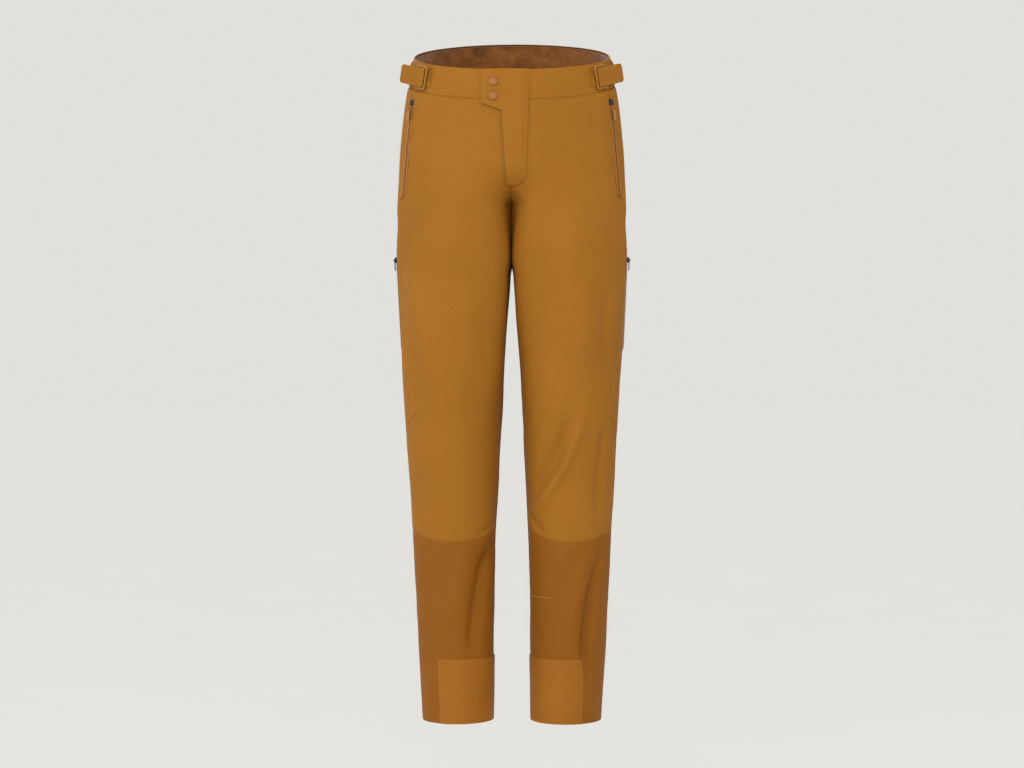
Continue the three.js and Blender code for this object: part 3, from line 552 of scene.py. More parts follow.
def mesh_material(name, colour):
    """Warp-knit pocket mesh: rows of small dark holes."""
    m = Nodes(name)
    holes = m.math("MULTIPLY", *(m.sine(way, 0.0022) for way in m.cloth_uv()))
    m.set(Base_Color=m.shade(holes, colour, 1.1, 0.35, 0.25, 0.6), Roughness=0.9)
    m.set(Normal=m.bump(holes, 0.5, -0.0003), Specular_IOR_Level=0.2)
    return m.material


def hook_material(name, colour):
    """Hook and loop tape: a field of fine tufts."""
    m = Nodes(name)
    tufts = m.add("ShaderNodeTexVoronoi", {"Vector": m.where(), "Scale": 620.0}).outputs["Distance"]
    m.set(Base_Color=m.shade(tufts, colour, 1.25, 0.55, 0.1))
    m.set(Roughness=0.85, Normal=m.bump(tufts, 0.8, -0.0007), Specular_IOR_Level=0.25)
    return m.material


def tape_material(name, colour):
    """Woven zip tape: a herringbone of two narrow ribs."""
    m = Nodes(name)
    across, up = m.cloth_uv()
    ribs = m.sine(m.math("ADD", up, m.math("PINGPONG", across, 0.0012)), 0.0009)
    m.set(Base_Color=m.shade(m.noise(160), colour, 0.85, 1.1))
    m.set(Roughness=0.75, Normal=m.bump(ribs, 0.5, 0.0001), Specular_IOR_Level=0.3)
    return m.material


def plastic_material(name, colour, rough, grain=300):
    """Moulded plastic or rubber, finely textured, paler where it is worn."""
    m = Nodes(name)
    speck = m.noise(grain, 3, 0.6)
    pale = tuple(c * 1.2 + 0.015 for c in colour)
    m.set(Base_Color=m.worn(m.shade(speck, colour, 0.92, 1.06), pale, 0.53, 0.66, 0.3))
    m.set(Roughness=m.math("MULTIPLY_ADD", speck, 0.2, rough - 0.1))
    m.set(Normal=m.bump(speck, 0.2, 0.0001), Specular_IOR_Level=0.3)
    return m.material


def metal_material(name, colour, rough, metallic):
    """Plated or lacquered metal with fine brushing and a little wear on its rims."""
    m = Nodes(name)
    haze = m.noise(240, 3, 0.6)
    base = m.shade(haze, colour, 0.88, 1.08)
    m.set(Base_Color=m.worn(base, scaled(colour, 1.35), 0.52, 0.64, 0.4), Metallic=metallic)
    m.set(Roughness=m.math("MULTIPLY_ADD", haze, 0.25, rough - 0.1))
    m.set(Normal=m.bump(haze, 0.12, 0.00008))
    return m.material


# Each material's maker, its sRGB colour and the maker's other values.
MAKERS = {
    "softshell": (cloth_material, (139, 89, 22)),
    "shin_cloth": (cloth_material, (125, 74, 9), 0.0013, 0.68, 0.03, 0.00009),
    "kick_cloth": (cloth_material, (139, 85, 19), 0.0016, 0.62, 0.03, 0.00012),
    "inside": (brushed_material, (120, 74, 34), 0.2, 60),
    "lining": (brushed_material, (118, 70, 27)),
    "binding": (tape_material, (52, 30, 14)),
    "pocket_mesh": (mesh_material, (122, 82, 38)),
    "hook_and_loop": (hook_material, (112, 70, 30)),
    "buckle": (plastic_material, (146, 93, 28), 0.45),
    "zip_tape": (tape_material, (150, 97, 38)),
    "coil": (plastic_material, (152, 98, 44), 0.4, 500),
    "pull": (plastic_material, (156, 102, 48), 0.45),
    "black_pull": (plastic_material, (16, 14, 12), 0.5),
    "slider_metal": (metal_material, (140, 90, 42), 0.4, 0.6),
    "copper": (metal_material, (136, 80, 18), 0.5, 0.3),
    "thread": (plastic_material, (160, 105, 42), 0.6, 900),
    "pale_thread": (plastic_material, (172, 120, 62), 0.6, 900),
}
MATERIALS = {name: make(name, linear(*colour), *rest) for name, (make, colour, *rest) in MAKERS.items()}


# ---- Mesh making ----------------------------------------------------------------------------------
def to_metres(points):
    out = np.array(points, float)
    out[..., 2] -= ORIGIN_Z
    return out * 0.001


def finish_piece(obj, material, body, node=None, inside=None):
    """Materials, smooth shading, the body that it rides on and the CAD node that it stands for."""
    obj.data.materials.clear()
    obj.data.materials.append(MATERIALS[material])
    if inside:
        obj.data.materials.append(MATERIALS[inside])
    obj.data.shade_smooth()
    obj.data.set_sharp_from_angle(angle=math.radians(42))
    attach(obj, body)
    if node:
        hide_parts(node)
    return obj


def set_uv(mesh, uv):
    """Cloth coordinates, a pair for each vertex."""
    layer = mesh.uv_layers.new(name="cloth")
    corners = np.zeros(len(mesh.loops), int)
    mesh.loops.foreach_get("vertex_index", corners)
    layer.data.foreach_set("uv", uv[corners].astype(np.float32).ravel())


def plain_mesh(name, vertices, faces):
    mesh = bpy.data.meshes.new(name)
    mesh.from_pydata([tuple(v) for v in vertices], [], [tuple(f) for f in faces])
    return mesh


def closed_sheet(name, outer, outward, thickness, cloth_coords, level_low=False):
    """Closed cloth of the given thickness under a grid of points. Its inner face has material 1."""
    rows, cols = outer.shape[:2]
    normals = unit(np.cross(np.gradient(outer, axis=1), np.gradient(outer, axis=0)))
    normals = normals * np.sign((normals * outward).sum(-1, keepdims=True))
    inner = outer - normals * thickness
    if level_low:
        inner[0, :, 2] = outer[0, :, 2]
    vertices = to_metres(np.concatenate([outer.reshape(-1, 3), inner.reshape(-1, 3)]))
    index = np.arange(rows * cols).reshape(rows, cols)
    a, b = index[:-1, :-1].ravel(), index[:-1, 1:].ravel()
    c, d = index[1:, 1:].ravel(), index[1:, :-1].ravel()
    half = rows * cols
    top = np.stack([a, b, c, d], 1)
    bottom = np.stack([a, d, c, b], 1) + half
    ring = np.concatenate([index[0, :-1], index[:-1, -1], index[-1, :0:-1], index[:0:-1, 0]])
    following = np.roll(ring, -1)
    wall = np.stack([following, ring, ring + half, following + half], 1)
    p = outer.reshape(-1, 3)
    facing = np.cross(p[b] - p[a], p[d] - p[a])
    if (facing * outward.reshape(-1, 3)[a]).sum() < 0:
        top, bottom, wall = top[:, ::-1], bottom[:, ::-1], wall[:, ::-1]
    mesh = plain_mesh(name, vertices, np.concatenate([top, bottom, wall]))
    set_uv(mesh, np.concatenate([cloth_coords.reshape(-1, 2)] * 2) * 0.001)
    inner_faces = np.zeros(len(mesh.polygons), int)
    inner_faces[len(top):len(top) + len(bottom)] = 1
    mesh.polygons.foreach_set("material_index", inner_faces)
    mesh.update()
    return link(name, mesh)


def area_of(grid):
    """Area in square metres of a grid of millimetre points."""
    a, b, c, d = grid[:-1, :-1], grid[:-1, 1:], grid[1:, 1:], grid[1:, :-1]
    halves = np.stack([np.cross(b - a, c - a), np.cross(c - a, d - a)])
    return np.linalg.norm(halves, axis=-1).sum() / 2 * 1e-6


def cloth_piece(name, plain, outward, height, thickness, coords, material, node, flat,
                inside=None, body="garment", level_low=False, points=None, area=True):
    """Closed cloth at a height over a plain grid of points, finished.

    points are given where they aren't the plain grid moved outward. flat is in millimetres.
    """
    if points is None:
        points = plain + outward * height[..., None]
    coords = np.stack(np.broadcast_arrays(*coords), -1)
    obj = closed_sheet(name, points, outward, thickness, coords, level_low)
    finish_piece(obj, material, body, node, inside or material)
    flat = tuple(float(length) * 0.001 for length in flat)
    area = min(area_of(plain), flat[0] * flat[1]) if area else None


def spacing(length, cell):
    """Places from 0 to length: fine next to both ends, for rolled edges, and even between them."""
    edge = np.array([0, 0.7, 1.6, 3.0, 5.0])
    count = max(int(round((length - 2 * edge[-1]) / cell)), 2)
    middle = np.linspace(edge[-1], length - edge[-1], count + 1)[1:-1]
    return np.concatenate([edge, middle, length - edge[::-1]]) / length


CELL = 4.2                                 # spacing of the fine cloth mesh


def beside_other_leg(x, z):
    """Distance from the middle, with the inner thighs pressed together just under the crotch."""
    pressed = smoothstep(z, 690, 716) * (1 - smoothstep(z, INSEAM + 30, INSEAM + 60))
    return np.maximum(x - 3.6 * pressed * bell(x, 9), SEAM_GAP / 2)


def fabric(name, side, u_from, u_to, z_from, z_to, material, node, rests_on, lift=0.0, thickness=CLOTH,
           rolls=(1, 1, 1, 1), hem=False, cell=CELL, corners=()):
    """One cut piece of cloth on the trouser surface.

    u_from, u_to are its edges as functions of z, and z_from, z_to as functions of u. rolls says how
    deep the seams at those four edges draw the cloth in. corners are (z, u) places of its outline
    that a row of the mesh has to meet.
    """
    z_mid = lerp(float(z_from(0.5)), float(z_to(0.5)), np.linspace(0, 1, 9))
    wide = max(float((u_to(z) - u_from(z)) * girth(0.5 * (u_to(z) + u_from(z)), z)) for z in z_mid)
    all_u = np.linspace(-1, 1, 9)
    tall = min(float(np.max(z_to(all_u)) - np.min(z_from(all_u))), float(z_mid[-1] - z_mid[0]))
    columns, rows = spacing(wide, cell)[None, :], spacing(tall, cell)[:, None]
    for corner_z, corner_u in corners:
        wanted = (corner_z - z_from(corner_u)) / (z_to(corner_u) - z_from(corner_u))
        rows[np.argmin(np.abs(rows - wanted))] = wanted
    z = lerp(z_mid[0], z_mid[-1], rows) + 0 * columns
    for _ in range(6):
        u = lerp(u_from(z), u_to(z), columns)
        z = lerp(z_from(u), z_to(u), rows)
    plain, outward = surface(side, u, z), normal(side, u, z)
    wide_here, tall_here = lengths(plain, 1).sum(1)[:, None], lengths(plain, 0).sum(0)
    edges = [columns * wide_here, (1 - columns) * wide_here, rows * tall_here, (1 - rows) * tall_here]
    height = lift + drape(side, u, z)
    s = u * girth(u, z)
    for k, (distance, roll) in enumerate(zip(edges, rolls)):
        along_edge = z if k < 2 else s
        pucker = 0.22 * lattice_noise(along_edge / 5.5, along_edge / 47 + k, 40 + k)
        height = height - roll * (1.25 * bell(distance, 1.5) + 0.45 * bell(distance, 7))
        height = height + roll * pucker * bell(distance, 9) * (1 - bell(distance, 2))
    points = lay_to_zips(side, plain + outward * height[..., None], max(-lift, 0))
    points[..., 0] = side * beside_other_leg(side * points[..., 0], z)
    inside = "inside" if material in ("softshell", "shin_cloth") else material
    cloth_piece(name, plain, outward, height, thickness, (s, z), material, node,
                (wide_here.max(), tall_here.max()), inside, level_low=hem, points=points)


# ---- Cloth panels ---------------------------------------------------------------------------------
KNEE_SEAM_SIDE, KNEE_SEAM_DROP = 0.366 * INSEAM, 15.0
PANEL_TOP, PANEL_DROP = INSEAM + 12, 27.0
PANEL_BOTTOM, PANEL_POINT = 0.548 * INSEAM, 38.0
PANEL_CORNER = PANEL_BOTTOM + PANEL_POINT
PANEL_WAIST, PANEL_BACK = 0.76 * INSEAM, -0.155
KICK_TOP, KICK_FRONT, KICK_BACK = 99.0, 0.36, -0.7
HALF_ANKLE, HALF_HIPS, HALF_WAIST = 205.0, 210.0, 199.0    # cloth to one unit of u, at three heights

HAND_LINE = [(HAND_TOP[1], HAND_TOP[0]), (HAND_BOTTOM[1], HAND_BOTTOM[0])]
PANEL_FRONT = [(PANEL_TOP - 5, 0.16), (PANEL_WAIST, 0.1), (PANEL_CORNER, 0.235)]
FRONT_OUTER = HAND_LINE + PANEL_FRONT + [(PANEL_BOTTOM, 0), (0, 0)]
BACK_OUTER = [(PANEL_CORNER, PANEL_BACK), (PANEL_BOTTOM, 0), (0, 0)]


def constant(value):
    return lambda other: value + 0 * np.asarray(other, float)


def knee_seam(u):
    return KNEE_SEAM_SIDE - KNEE_SEAM_DROP * np.sin(np.pi * np.asarray(u, float)) ** 2


def side_seam(u):
    return np.interp(u, (PANEL_BACK, HAND_BOTTOM[0]), (PANEL_TOP - PANEL_DROP, PANEL_TOP))


def panel_foot(u):
    width = np.where(np.asarray(u) > 0, PANEL_FRONT[-1][1], -PANEL_BACK)
    return PANEL_BOTTOM + PANEL_POINT * np.abs(u) / width


def gap_u(u, z):
    return SEAM_GAP / 2 / girth(u, z)


def front_inner(z):
    """The front panel's middle edge: on the centre line, and beside the slot from the fly up."""
    return np.where(np.asarray(z) >= FLY_BOTTOM - 1, 1 - FLY_HALF_SLOT / HALF_HIPS, 1)


def make_panels(side, name):
    def edge(points, sign):
        return lambda z: line_at(points, z) + sign * gap_u(line_at(points, z), z)

    def top(u):
        return band_bottom(u) + 0.4                # the panels' tops tuck behind the waistband's edge

    def back_edge(z):
        return PANEL_BACK + gap_u(-1, z)

    def piece(kind, *edges_and_material, **more):
        fabric(f"{kind}_{name}_cloth", side, *edges_and_material, f"{kind}_{name}", **more)

    half = SEAM_GAP / 2
    front_band = f"waistband_front_{name}_cloth"
    piece("front_panel", edge(FRONT_OUTER, 1), front_inner, lambda u: knee_seam(u) + half, top,
          "softshell", rests_on=front_band, rolls=(1, 0.6, 1, 1), corners=FRONT_OUTER[1:-1])
    piece("back_panel", constant(-1), edge(BACK_OUTER, -1), constant(0), top, "softshell",
          rests_on="waistband_back_cloth", rolls=(1, 1, 0.2, 1), hem=True, corners=BACK_OUTER[:-1])
    piece("hip_side_panel", back_edge, edge(HAND_LINE, -1), lambda u: side_seam(u) + half, top,
          "softshell", rests_on=front_band)
    piece("thigh_side_panel", back_edge, edge(PANEL_FRONT, -1), lambda u: panel_foot(u) + half,
          lambda u: side_seam(u) - half, "softshell", rests_on=f"hip_side_panel_{name}_cloth")
    piece("shin_panel", constant(0), constant(1), constant(0), lambda u: knee_seam(u) - half,
          "shin_cloth", rests_on=f"front_panel_{name}_cloth", rolls=(1, 1, 0.2, 1), hem=True)


def make_kick_patch(side, name):
    """The patch runs round the inner ankle, from the shin panel over the inseam to the back."""
    rows = spacing(KICK_TOP, 4.2)[:, None]
    columns = np.concatenate([np.linspace(KICK_FRONT, 1, 26), np.linspace(-1, KICK_BACK, 20)[1:]])
    z = lerp(SEAM_GAP, KICK_TOP, rows) + 0 * columns
    u = columns + 0 * rows
    ends = np.minimum(np.abs(u - KICK_FRONT), np.abs(u - KICK_BACK)) * HALF_ANKLE
    edge = np.minimum(ends, (1 - rows) * KICK_TOP)
    height = LAYER_GAP + 1.2 + drape(side, u, z) - 0.35 * bell(edge, 1.2) - 0.3 * bell(edge - 3, 0.8)
    s = np.where(u > 0, u, 2 + u) * HALF_ANKLE
    cloth_piece(f"kick_patch_{name}_cloth", surface(side, u, z), normal(side, u, z), height, 1.0, (s, z),
                "kick_cloth", f"kick_patch_{name}", (np.ptp(s), KICK_TOP))


for side, name in SIDES:
    make_panels(side, name)
    make_kick_patch(side, name)

# ---- Waistband ------------------------------------------------------------------------------------
def band_cloth(name, sides, us, lift, thickness, material, node, inset=0.0, crown=0.5):
    """A band round the waist, whose columns stand at the given sides and us."""
    rows = spacing(BAND_HEIGHT - 2 * inset, 4.0)[:, None]
    z = lerp(band_bottom(us) + SEAM_GAP / 2 + inset, waist_top(us) - inset, rows)
    u = us + 0 * rows
    plain, outward = surface(sides, u, z), normal(sides, u, z)
    s = np.pad(np.cumsum(lengths(plain, 1), axis=1), ((0, 0), (1, 0)))
    below, above = rows * BAND_HEIGHT, (1 - rows) * BAND_HEIGHT
    arch = np.sin(np.pi * rows)
    height = lift + crown * arch - 1.1 * bell(below, 1.6) - 0.9 * bell(above, 1.4)
    height = height + 0.35 * lattice_noise(s / 26 + 7, z / 34, 71) * arch
    height = height + 0.2 * lattice_noise(s / 6 + 7, z / 60, 72) * bell(below, 9)
    cloth_piece(name, plain, outward, height, thickness, (s, z), material, node,
                (s.max(), BAND_HEIGHT - 2 * inset), "lining")


def round_the_back(u_end, count):
    """Sides and us from the left, over the centre back, to the right."""
    us = np.linspace(u_end, -1 + 1e-4, count)
    return np.repeat((1, -1), (count, count - 1)), np.append(us, us[-2::-1])


def make_waistband():
    """Two fronts, the back between them, and the lining, which stops short of the fly."""
    split, half_gap, lining_short = 0.12, 0.0013, 26
    front_us = lerp(split + half_gap, 1 - FLY_HALF_SLOT / HALF_WAIST, spacing(178, 4.0))
    for side, name in SIDES:
        band_cloth(f"waistband_front_{name}_cloth", np.full(front_us.shape, side), front_us, 0, CLOTH,
                   "softshell", f"waistband_front_{name}")
    band_cloth("waistband_back_cloth", *round_the_back(split - half_gap, 58), 0, CLOTH, "softshell",
               "waistband_back")
    band_cloth("waistband_lining_cloth", *round_the_back(1 - lining_short / HALF_WAIST, 80),
               -CLOTH - LAYER_GAP - 0.6, 1.0, "lining", "waistband_lining", inset=3.0, crown=-0.6)


make_waistband()


# ---- Small shapes ---------------------------------------------------------------------------------
def curve_mesh(name, paths, cyclic, **settings):
    """Mesh of a Blender curve through the points of each path."""
    data = bpy.data.curves.new(name, "CURVE")
    for key, value in settings.items():
        setattr(data, key, value)
    for path in paths:
        spline = data.splines.new("POLY")
        spline.points.add(len(path) - 1)
        spline.points.foreach_set("co", np.append(path, np.ones((len(path), 1)), 1).ravel())
        spline.use_cyclic_u = cyclic
    carrier = link(name + "_curve", data)
    bpy.context.view_layer.update()
    graph = bpy.context.evaluated_depsgraph_get()
    mesh = bpy.data.meshes.new_from_object(carrier.evaluated_get(graph))
    mesh.name = name
    bpy.data.objects.remove(carrier)
    return mesh


def wire(name, paths, radius, resolution=3):
    """Mesh of round thread or wire along paths of millimetre points."""
    return curve_mesh(name, [to_metres(path) for path in paths], False, dimensions="3D",
                      bevel_depth=radius * 0.001, bevel_resolution=resolution, use_fill_caps=True)


def slab(outlines, low, high, bevel, frame4):
    """Mesh of a plate with rounded edges in a seat's X and Y, between the heights low and high."""
    flat = [np.pad(outline, ((0, 0), (0, 1))) for outline in outlines]
    mesh = curve_mesh("part", flat, True, dimensions="2D", fill_mode="BOTH",
                      extrude=(high - low) / 2 - bevel, bevel_depth=bevel, bevel_resolution=2, offset=-bevel)
    points = np.zeros(len(mesh.vertices) * 3)
    mesh.vertices.foreach_get("co", points)
    points = points.reshape(-1, 3) + (0, 0, (low + high) / 2)
    mesh.vertices.foreach_set("co", to_metres(place(frame4, points)).ravel())
    return mesh


def welded(name, meshes, distance):
    """One mesh from several, in which points within a distance of each other are merged."""
    bm = bmesh.new()
    for part in meshes:
        bm.from_mesh(part)
        bpy.data.meshes.remove(part)
    bmesh.ops.remove_doubles(bm, verts=bm.verts, dist=distance)
    bmesh.ops.recalc_face_normals(bm, faces=bm.faces)
    mesh = bpy.data.meshes.new(name)
    bm.to_mesh(mesh)
    bm.free()
    return mesh


def hardware(name, meshes, material, body, node, uv_frame=None):
    """One finished piece from several meshes. A frame gives it cloth coordinates."""
    mesh = welded(name, meshes, 2e-6)
    if uv_frame is not None:
        points = np.array([v.co for v in mesh.vertices]) * 1000 + (0, 0, ORIGIN_Z)
        set_uv(mesh, local(uv_frame, points)[:, :2] * 0.001)
    return finish_piece(link(name, mesh), material, body, node)


def rounded_box(width, height, radius, centre=(0, 0), steps=6):
    """Outline of a rectangle with round corners."""
    points = []
    for k, (sx, sy) in enumerate(((1, -1), (1, 1), (-1, 1), (-1, -1))):
        middle = (centre[0] + sx * (width / 2 - radius), centre[1] + sy * (height / 2 - radius))
        start = -math.pi / 2 + k * math.pi / 2
        for t in np.linspace(start, start + math.pi / 2, steps):
            points.append((middle[0] + radius * math.cos(t), middle[1] + radius * math.sin(t)))
    return points


def mirrored(right):
    """Closed outline from its right half."""
    return right + [(-x, y) for x, y in right[::-1]]


def ring_faces(rings, segments, first=0, closed=False):
    """Quads between neighbouring rings of points."""
    faces = []
    for i in range(rings if closed else rings - 1):
        here, there = first + i * segments, first + (i + 1) % rings * segments
        for j in range(segments):
            k = (j + 1) % segments
            faces.append((here + j, here + k, there + k, there + j))
    return faces


def revolved(profile, frame4, segments=48):
    """Mesh turned about a seat's Z from (radius, height) pairs, a closed profile."""
    radius, height = np.array(profile, float).T[:, :, None]
    angles = np.linspace(0, 2 * np.pi, segments, endpoint=False)
    points = np.stack([radius * np.cos(angles), radius * np.sin(angles), height + 0 * angles], -1)
    vertices = to_metres(place(frame4, points.reshape(-1, 3)))
    mesh = plain_mesh("turned", vertices, ring_faces(len(profile), segments, closed=True))
    return welded("turned", [mesh], 1e-6)


def stitches(name, path, outward, body, material="thread", length=2.4, gap=1.1, radius=0.24):
    """A row of single stitches lying on the cloth along a path of millimetre points."""
    at = np.append(0, np.cumsum(lengths(path, 0)))
    rise = radius * np.array([-0.6, 0.6, 0.9, 0.6, -0.6])[:, None]
    shapes = []
    for start in np.arange(0, at[-1] - length, length + gap):
        t = start + length * np.array([0, 0.2, 0.5, 0.8, 1])
        points, up = (np.stack([np.interp(t, at, v[:, k]) for k in range(3)], 1) for v in (path, outward))
        shapes.append(points + unit(up) * rise)
    finish_piece(link(name, wire(name, shapes, radius, 1)), material, body)


# ---- Zips -----------------------------------------------------------------------------------------
TAPE_THICKNESS, COIL_HEIGHT = 0.8, 1.4
COIL_BASE = LAYER_GAP + TAPE_THICKNESS + LAYER_GAP
SLIDER = {"length": 9.0, "width": 8.0, "plate": 1.0, "wall": 1.2, "clearance": 0.3}
BAIL = {"length": 5.2, "band": 1.0, "room": 1.9, "radius": 0.6}
SLIDER_TOP = COIL_BASE + COIL_HEIGHT + SLIDER["clearance"] + SLIDER["plate"]
HINGE_HEIGHT = SLIDER_TOP + BAIL["room"] / 2
PULL_BAR = 1.2
TOOTH_PITCH, COIL_WIDTH = 1.5, 4.6


def coil_teeth(frame4, length):
    """Two rows of meshed coil loops, as one mesh of small rounded bars."""
    rings = ((-0.5, 0.3), (-0.42, 0.8), (-0.2, 1.0), (0.1, 0.9), (0.2, 0.35))    # place across and size
    angles = np.linspace(0, 2 * np.pi, 8, endpoint=False)
    count = len(angles)
    vertices, faces = [], []
    for row, y in enumerate(np.arange(-TOOTH_PITCH / 2, -length + TOOTH_PITCH / 2, -TOOTH_PITCH / 2)):
        flip = 1 if row % 2 else -1
        first = len(vertices)
        for at, size in rings:
            for angle in angles:
                vertices.append((flip * at * COIL_WIDTH, y + 0.24 * TOOTH_PITCH * size * math.cos(angle),
                                 COIL_BASE + COIL_HEIGHT / 2 * (1 + size * math.sin(angle))))
        faces += ring_faces(len(rings), count, first)
        for cap in (first, len(vertices) - count):
            faces.append(tuple(range(cap, cap + count)))
    return plain_mesh("teeth", to_metres(place(frame4, vertices)), faces)


def make_tape(name, node, frame4, length, width, extra=()):
    """Woven tape in two halves."""
    half_slit = 0.15
    strip = width / 2 - half_slit
    parts = []
    for sign in (1, -1):
        outline = rounded_box(strip, length, 0.4, (sign * (strip / 2 + half_slit), -length / 2), 3)
        parts.append(slab([outline], LAYER_GAP, LAYER_GAP + TAPE_THICKNESS, 0.3, frame4))
    hardware(f"{name}_tape", parts + list(extra), "zip_tape", "garment", node, frame4)


def make_slider(name, node, frame4, material, body):
    """Slider with rounded plates, flared front end, side walls and a bail over its top."""
    length, width = SLIDER["length"], SLIDER["width"]
    right = [(0.5, 0), (0.5, -0.35), (0.42, -0.75), (0.38, -1)]
    outline = mirrored([(x * width, y * length) for x, y in right])
    parts = [slab([outline], SLIDER_TOP - SLIDER["plate"], SLIDER_TOP, 0.35, frame4)]
    for sign in (1, -1):
        x = sign * (width / 2 - SLIDER["wall"] / 2)
        wall = rounded_box(SLIDER["wall"], length * 0.8, 0.4, (x * 0.96, -length * 0.46), 3)
        low = LAYER_GAP + TAPE_THICKNESS + SLIDER["clearance"]
        parts.append(slab([wall], low, SLIDER_TOP - 0.2, 0.25, frame4))
    foot, rise = SLIDER_TOP - 0.3, BAIL["room"] + BAIL["band"] / 2 + 0.3
    half = BAIL["length"] / 2 - BAIL["band"] / 2
    arch = [(0, -length / 2 + half * math.cos(t), foot + rise * math.sin(t) ** 0.6)
            for t in np.linspace(0.02, math.pi - 0.02, 15)]
    parts.append(wire("bail", [place(frame4, arch)], BAIL["radius"]))
    hardware(f"{name}_slider_body", parts, material, body, node)


def make_pull(name, node, frame4, length, width, material, body, ribs=4):
    """Tapered tongue with an eye for the bail and a few grip ribs near its tip."""
    eye_width, eye_length = 3.2, 3.0
    neck = eye_width / 2 + PULL_BAR
    tip = [(width / 2 * math.sin(t), -length + width * 0.42 * (1 - math.cos(t)))
           for t in np.linspace(1.45, 0, 8)]
    outline = mirrored([(neck, PULL_BAR / 2), (neck, -eye_length - PULL_BAR)] + tip)
    hole = rounded_box(eye_width, eye_length, 0.8, (0, -PULL_BAR / 2 - eye_length / 2), 4)
    low, high = HINGE_HEIGHT - PULL_BAR / 2, HINGE_HEIGHT + PULL_BAR / 2
    shifted = frame4.copy()
    shifted[:, 3] = place(frame4, (0, -SLIDER["length"] / 2, 0))
    parts = [slab([outline, hole[::-1]], low, high, 0.32, shifted)]
    for k in range(ribs):
        bar = rounded_box(width * 0.62, 0.7, 0.3, (0, -length + width * 0.5 + k * 1.7), 3)
        parts.append(slab([bar], high - 0.2, high + 0.28, 0.15, shifted))
    hardware(f"{name}_pull_tongue", parts, material, body, node)


def make_zip(kind, name, seat_of_zip, width, materials, pull_size, bodies, extra=(), coil=True, ribs=4):
    """Tape, coil, slider and pull on one seat. Without a coil node, its teeth belong to the tape."""
    frame4, length = seat_of_zip
    run = length - 1
    slider_material, pull_material = materials
    title = f"{kind}_zip" if kind == "fly" else f"{kind}_zip_{name}"
    teeth = coil_teeth(frame4, run)
    make_tape(title, f"{kind}_zip_tape_{name}", frame4, run, width, extra if coil else [teeth])
    if coil:
        hardware(f"{title}_teeth", [teeth], "coil", "garment", f"{kind}_zip_coil_{name}")
    make_slider(title, f"{kind}_zip_slider_{name}", frame4, slider_material, bodies[0])
    make_pull(title, f"{kind}_zip_pull_{name}", frame4, *pull_size, pull_material, bodies[-1], ribs)


def make_pocket_zips(side, name):
    bodies = [[f"{kind}_{part}_body_{name}" for part in ("slider", "pull")] for kind in ("hand", "thigh")]
    make_zip("hand", name, HAND_SEATS[side], HAND_TAPE, ("slider_metal", "pull"), (19, 7), bodies[0])
    hood = mirrored([(5.5, 1), (5.5, 6), (4.2, 9.4), (2, 10)])
    garage = slab([hood], LAYER_GAP, LAYER_GAP + 1.4, 0.45, HAND_SEATS[side][0])
    hardware(f"hand_zip_{name}_hood", [garage], "black_pull", "garment", f"hand_zip_garage_{name}")
    make_zip("thigh", name, THIGH_SEATS[side], THIGH_TAPE, ("black_pull", "black_pull"), (17, 6),
             bodies[1], coil=False)


for side, name in SIDES:
    make_pocket_zips(side, name)

# ---- Pocket bags ----------------------------------------------------------------------------------
BAGS = {"hand": (0.14, 0.62, INSEAM + 70, HAND_TOP[1] - 6),    # from and to in u, and in height
        "thigh": (-0.13, 0.13, 0.62 * INSEAM, 0.93 * INSEAM)}

for side, name in SIDES:
    for kind, limits in BAGS.items():
        fabric(f"{kind}_pocket_bag_{name}_mesh", side, *map(constant, limits), "pocket_mesh",
               f"{kind}_pocket_bag_{name}", f"{kind}_zip_tape_{name}", lift=-CLOTH - 1.6, thickness=0.9,
               rolls=(0.3, 0.3, 0.3, 0.3), cell=8)

# ---- Fly ------------------------------------------------------------------------------------------
FLAP_STANDOFF, FLAP_THICKNESS = 2.8, 1.8
FRONT_TOP, FRONT_SEAM = float(waist_top(1)), float(band_bottom(1))
FLAP_SEAM = [(WAIST_SIDE, 31), (FRONT_SEAM, 27.5), (INSEAM, 23)]
TAB_BOTTOM, TAB_SLOPE = FRONT_SEAM - 6, 12
FLAP_FREE = [(WAIST_SIDE, -44), (TAB_BOTTOM, -44), (TAB_BOTTOM - TAB_SLOPE, -13), (INSEAM, -4)]
FLAP_TOP, FLAP_BOTTOM = FRONT_TOP + 0.5, INSEAM + 27


def front_point(x, z):
    """Surface points and normals of the front at x from the middle."""
    u = u_at(np.maximum(np.abs(x), 0.3), z)
    side = np.where(x >= 0, 1, -1)
    point = surface(side, u, z)
    point[..., 0] = x
    return point, normal(side, u, z)


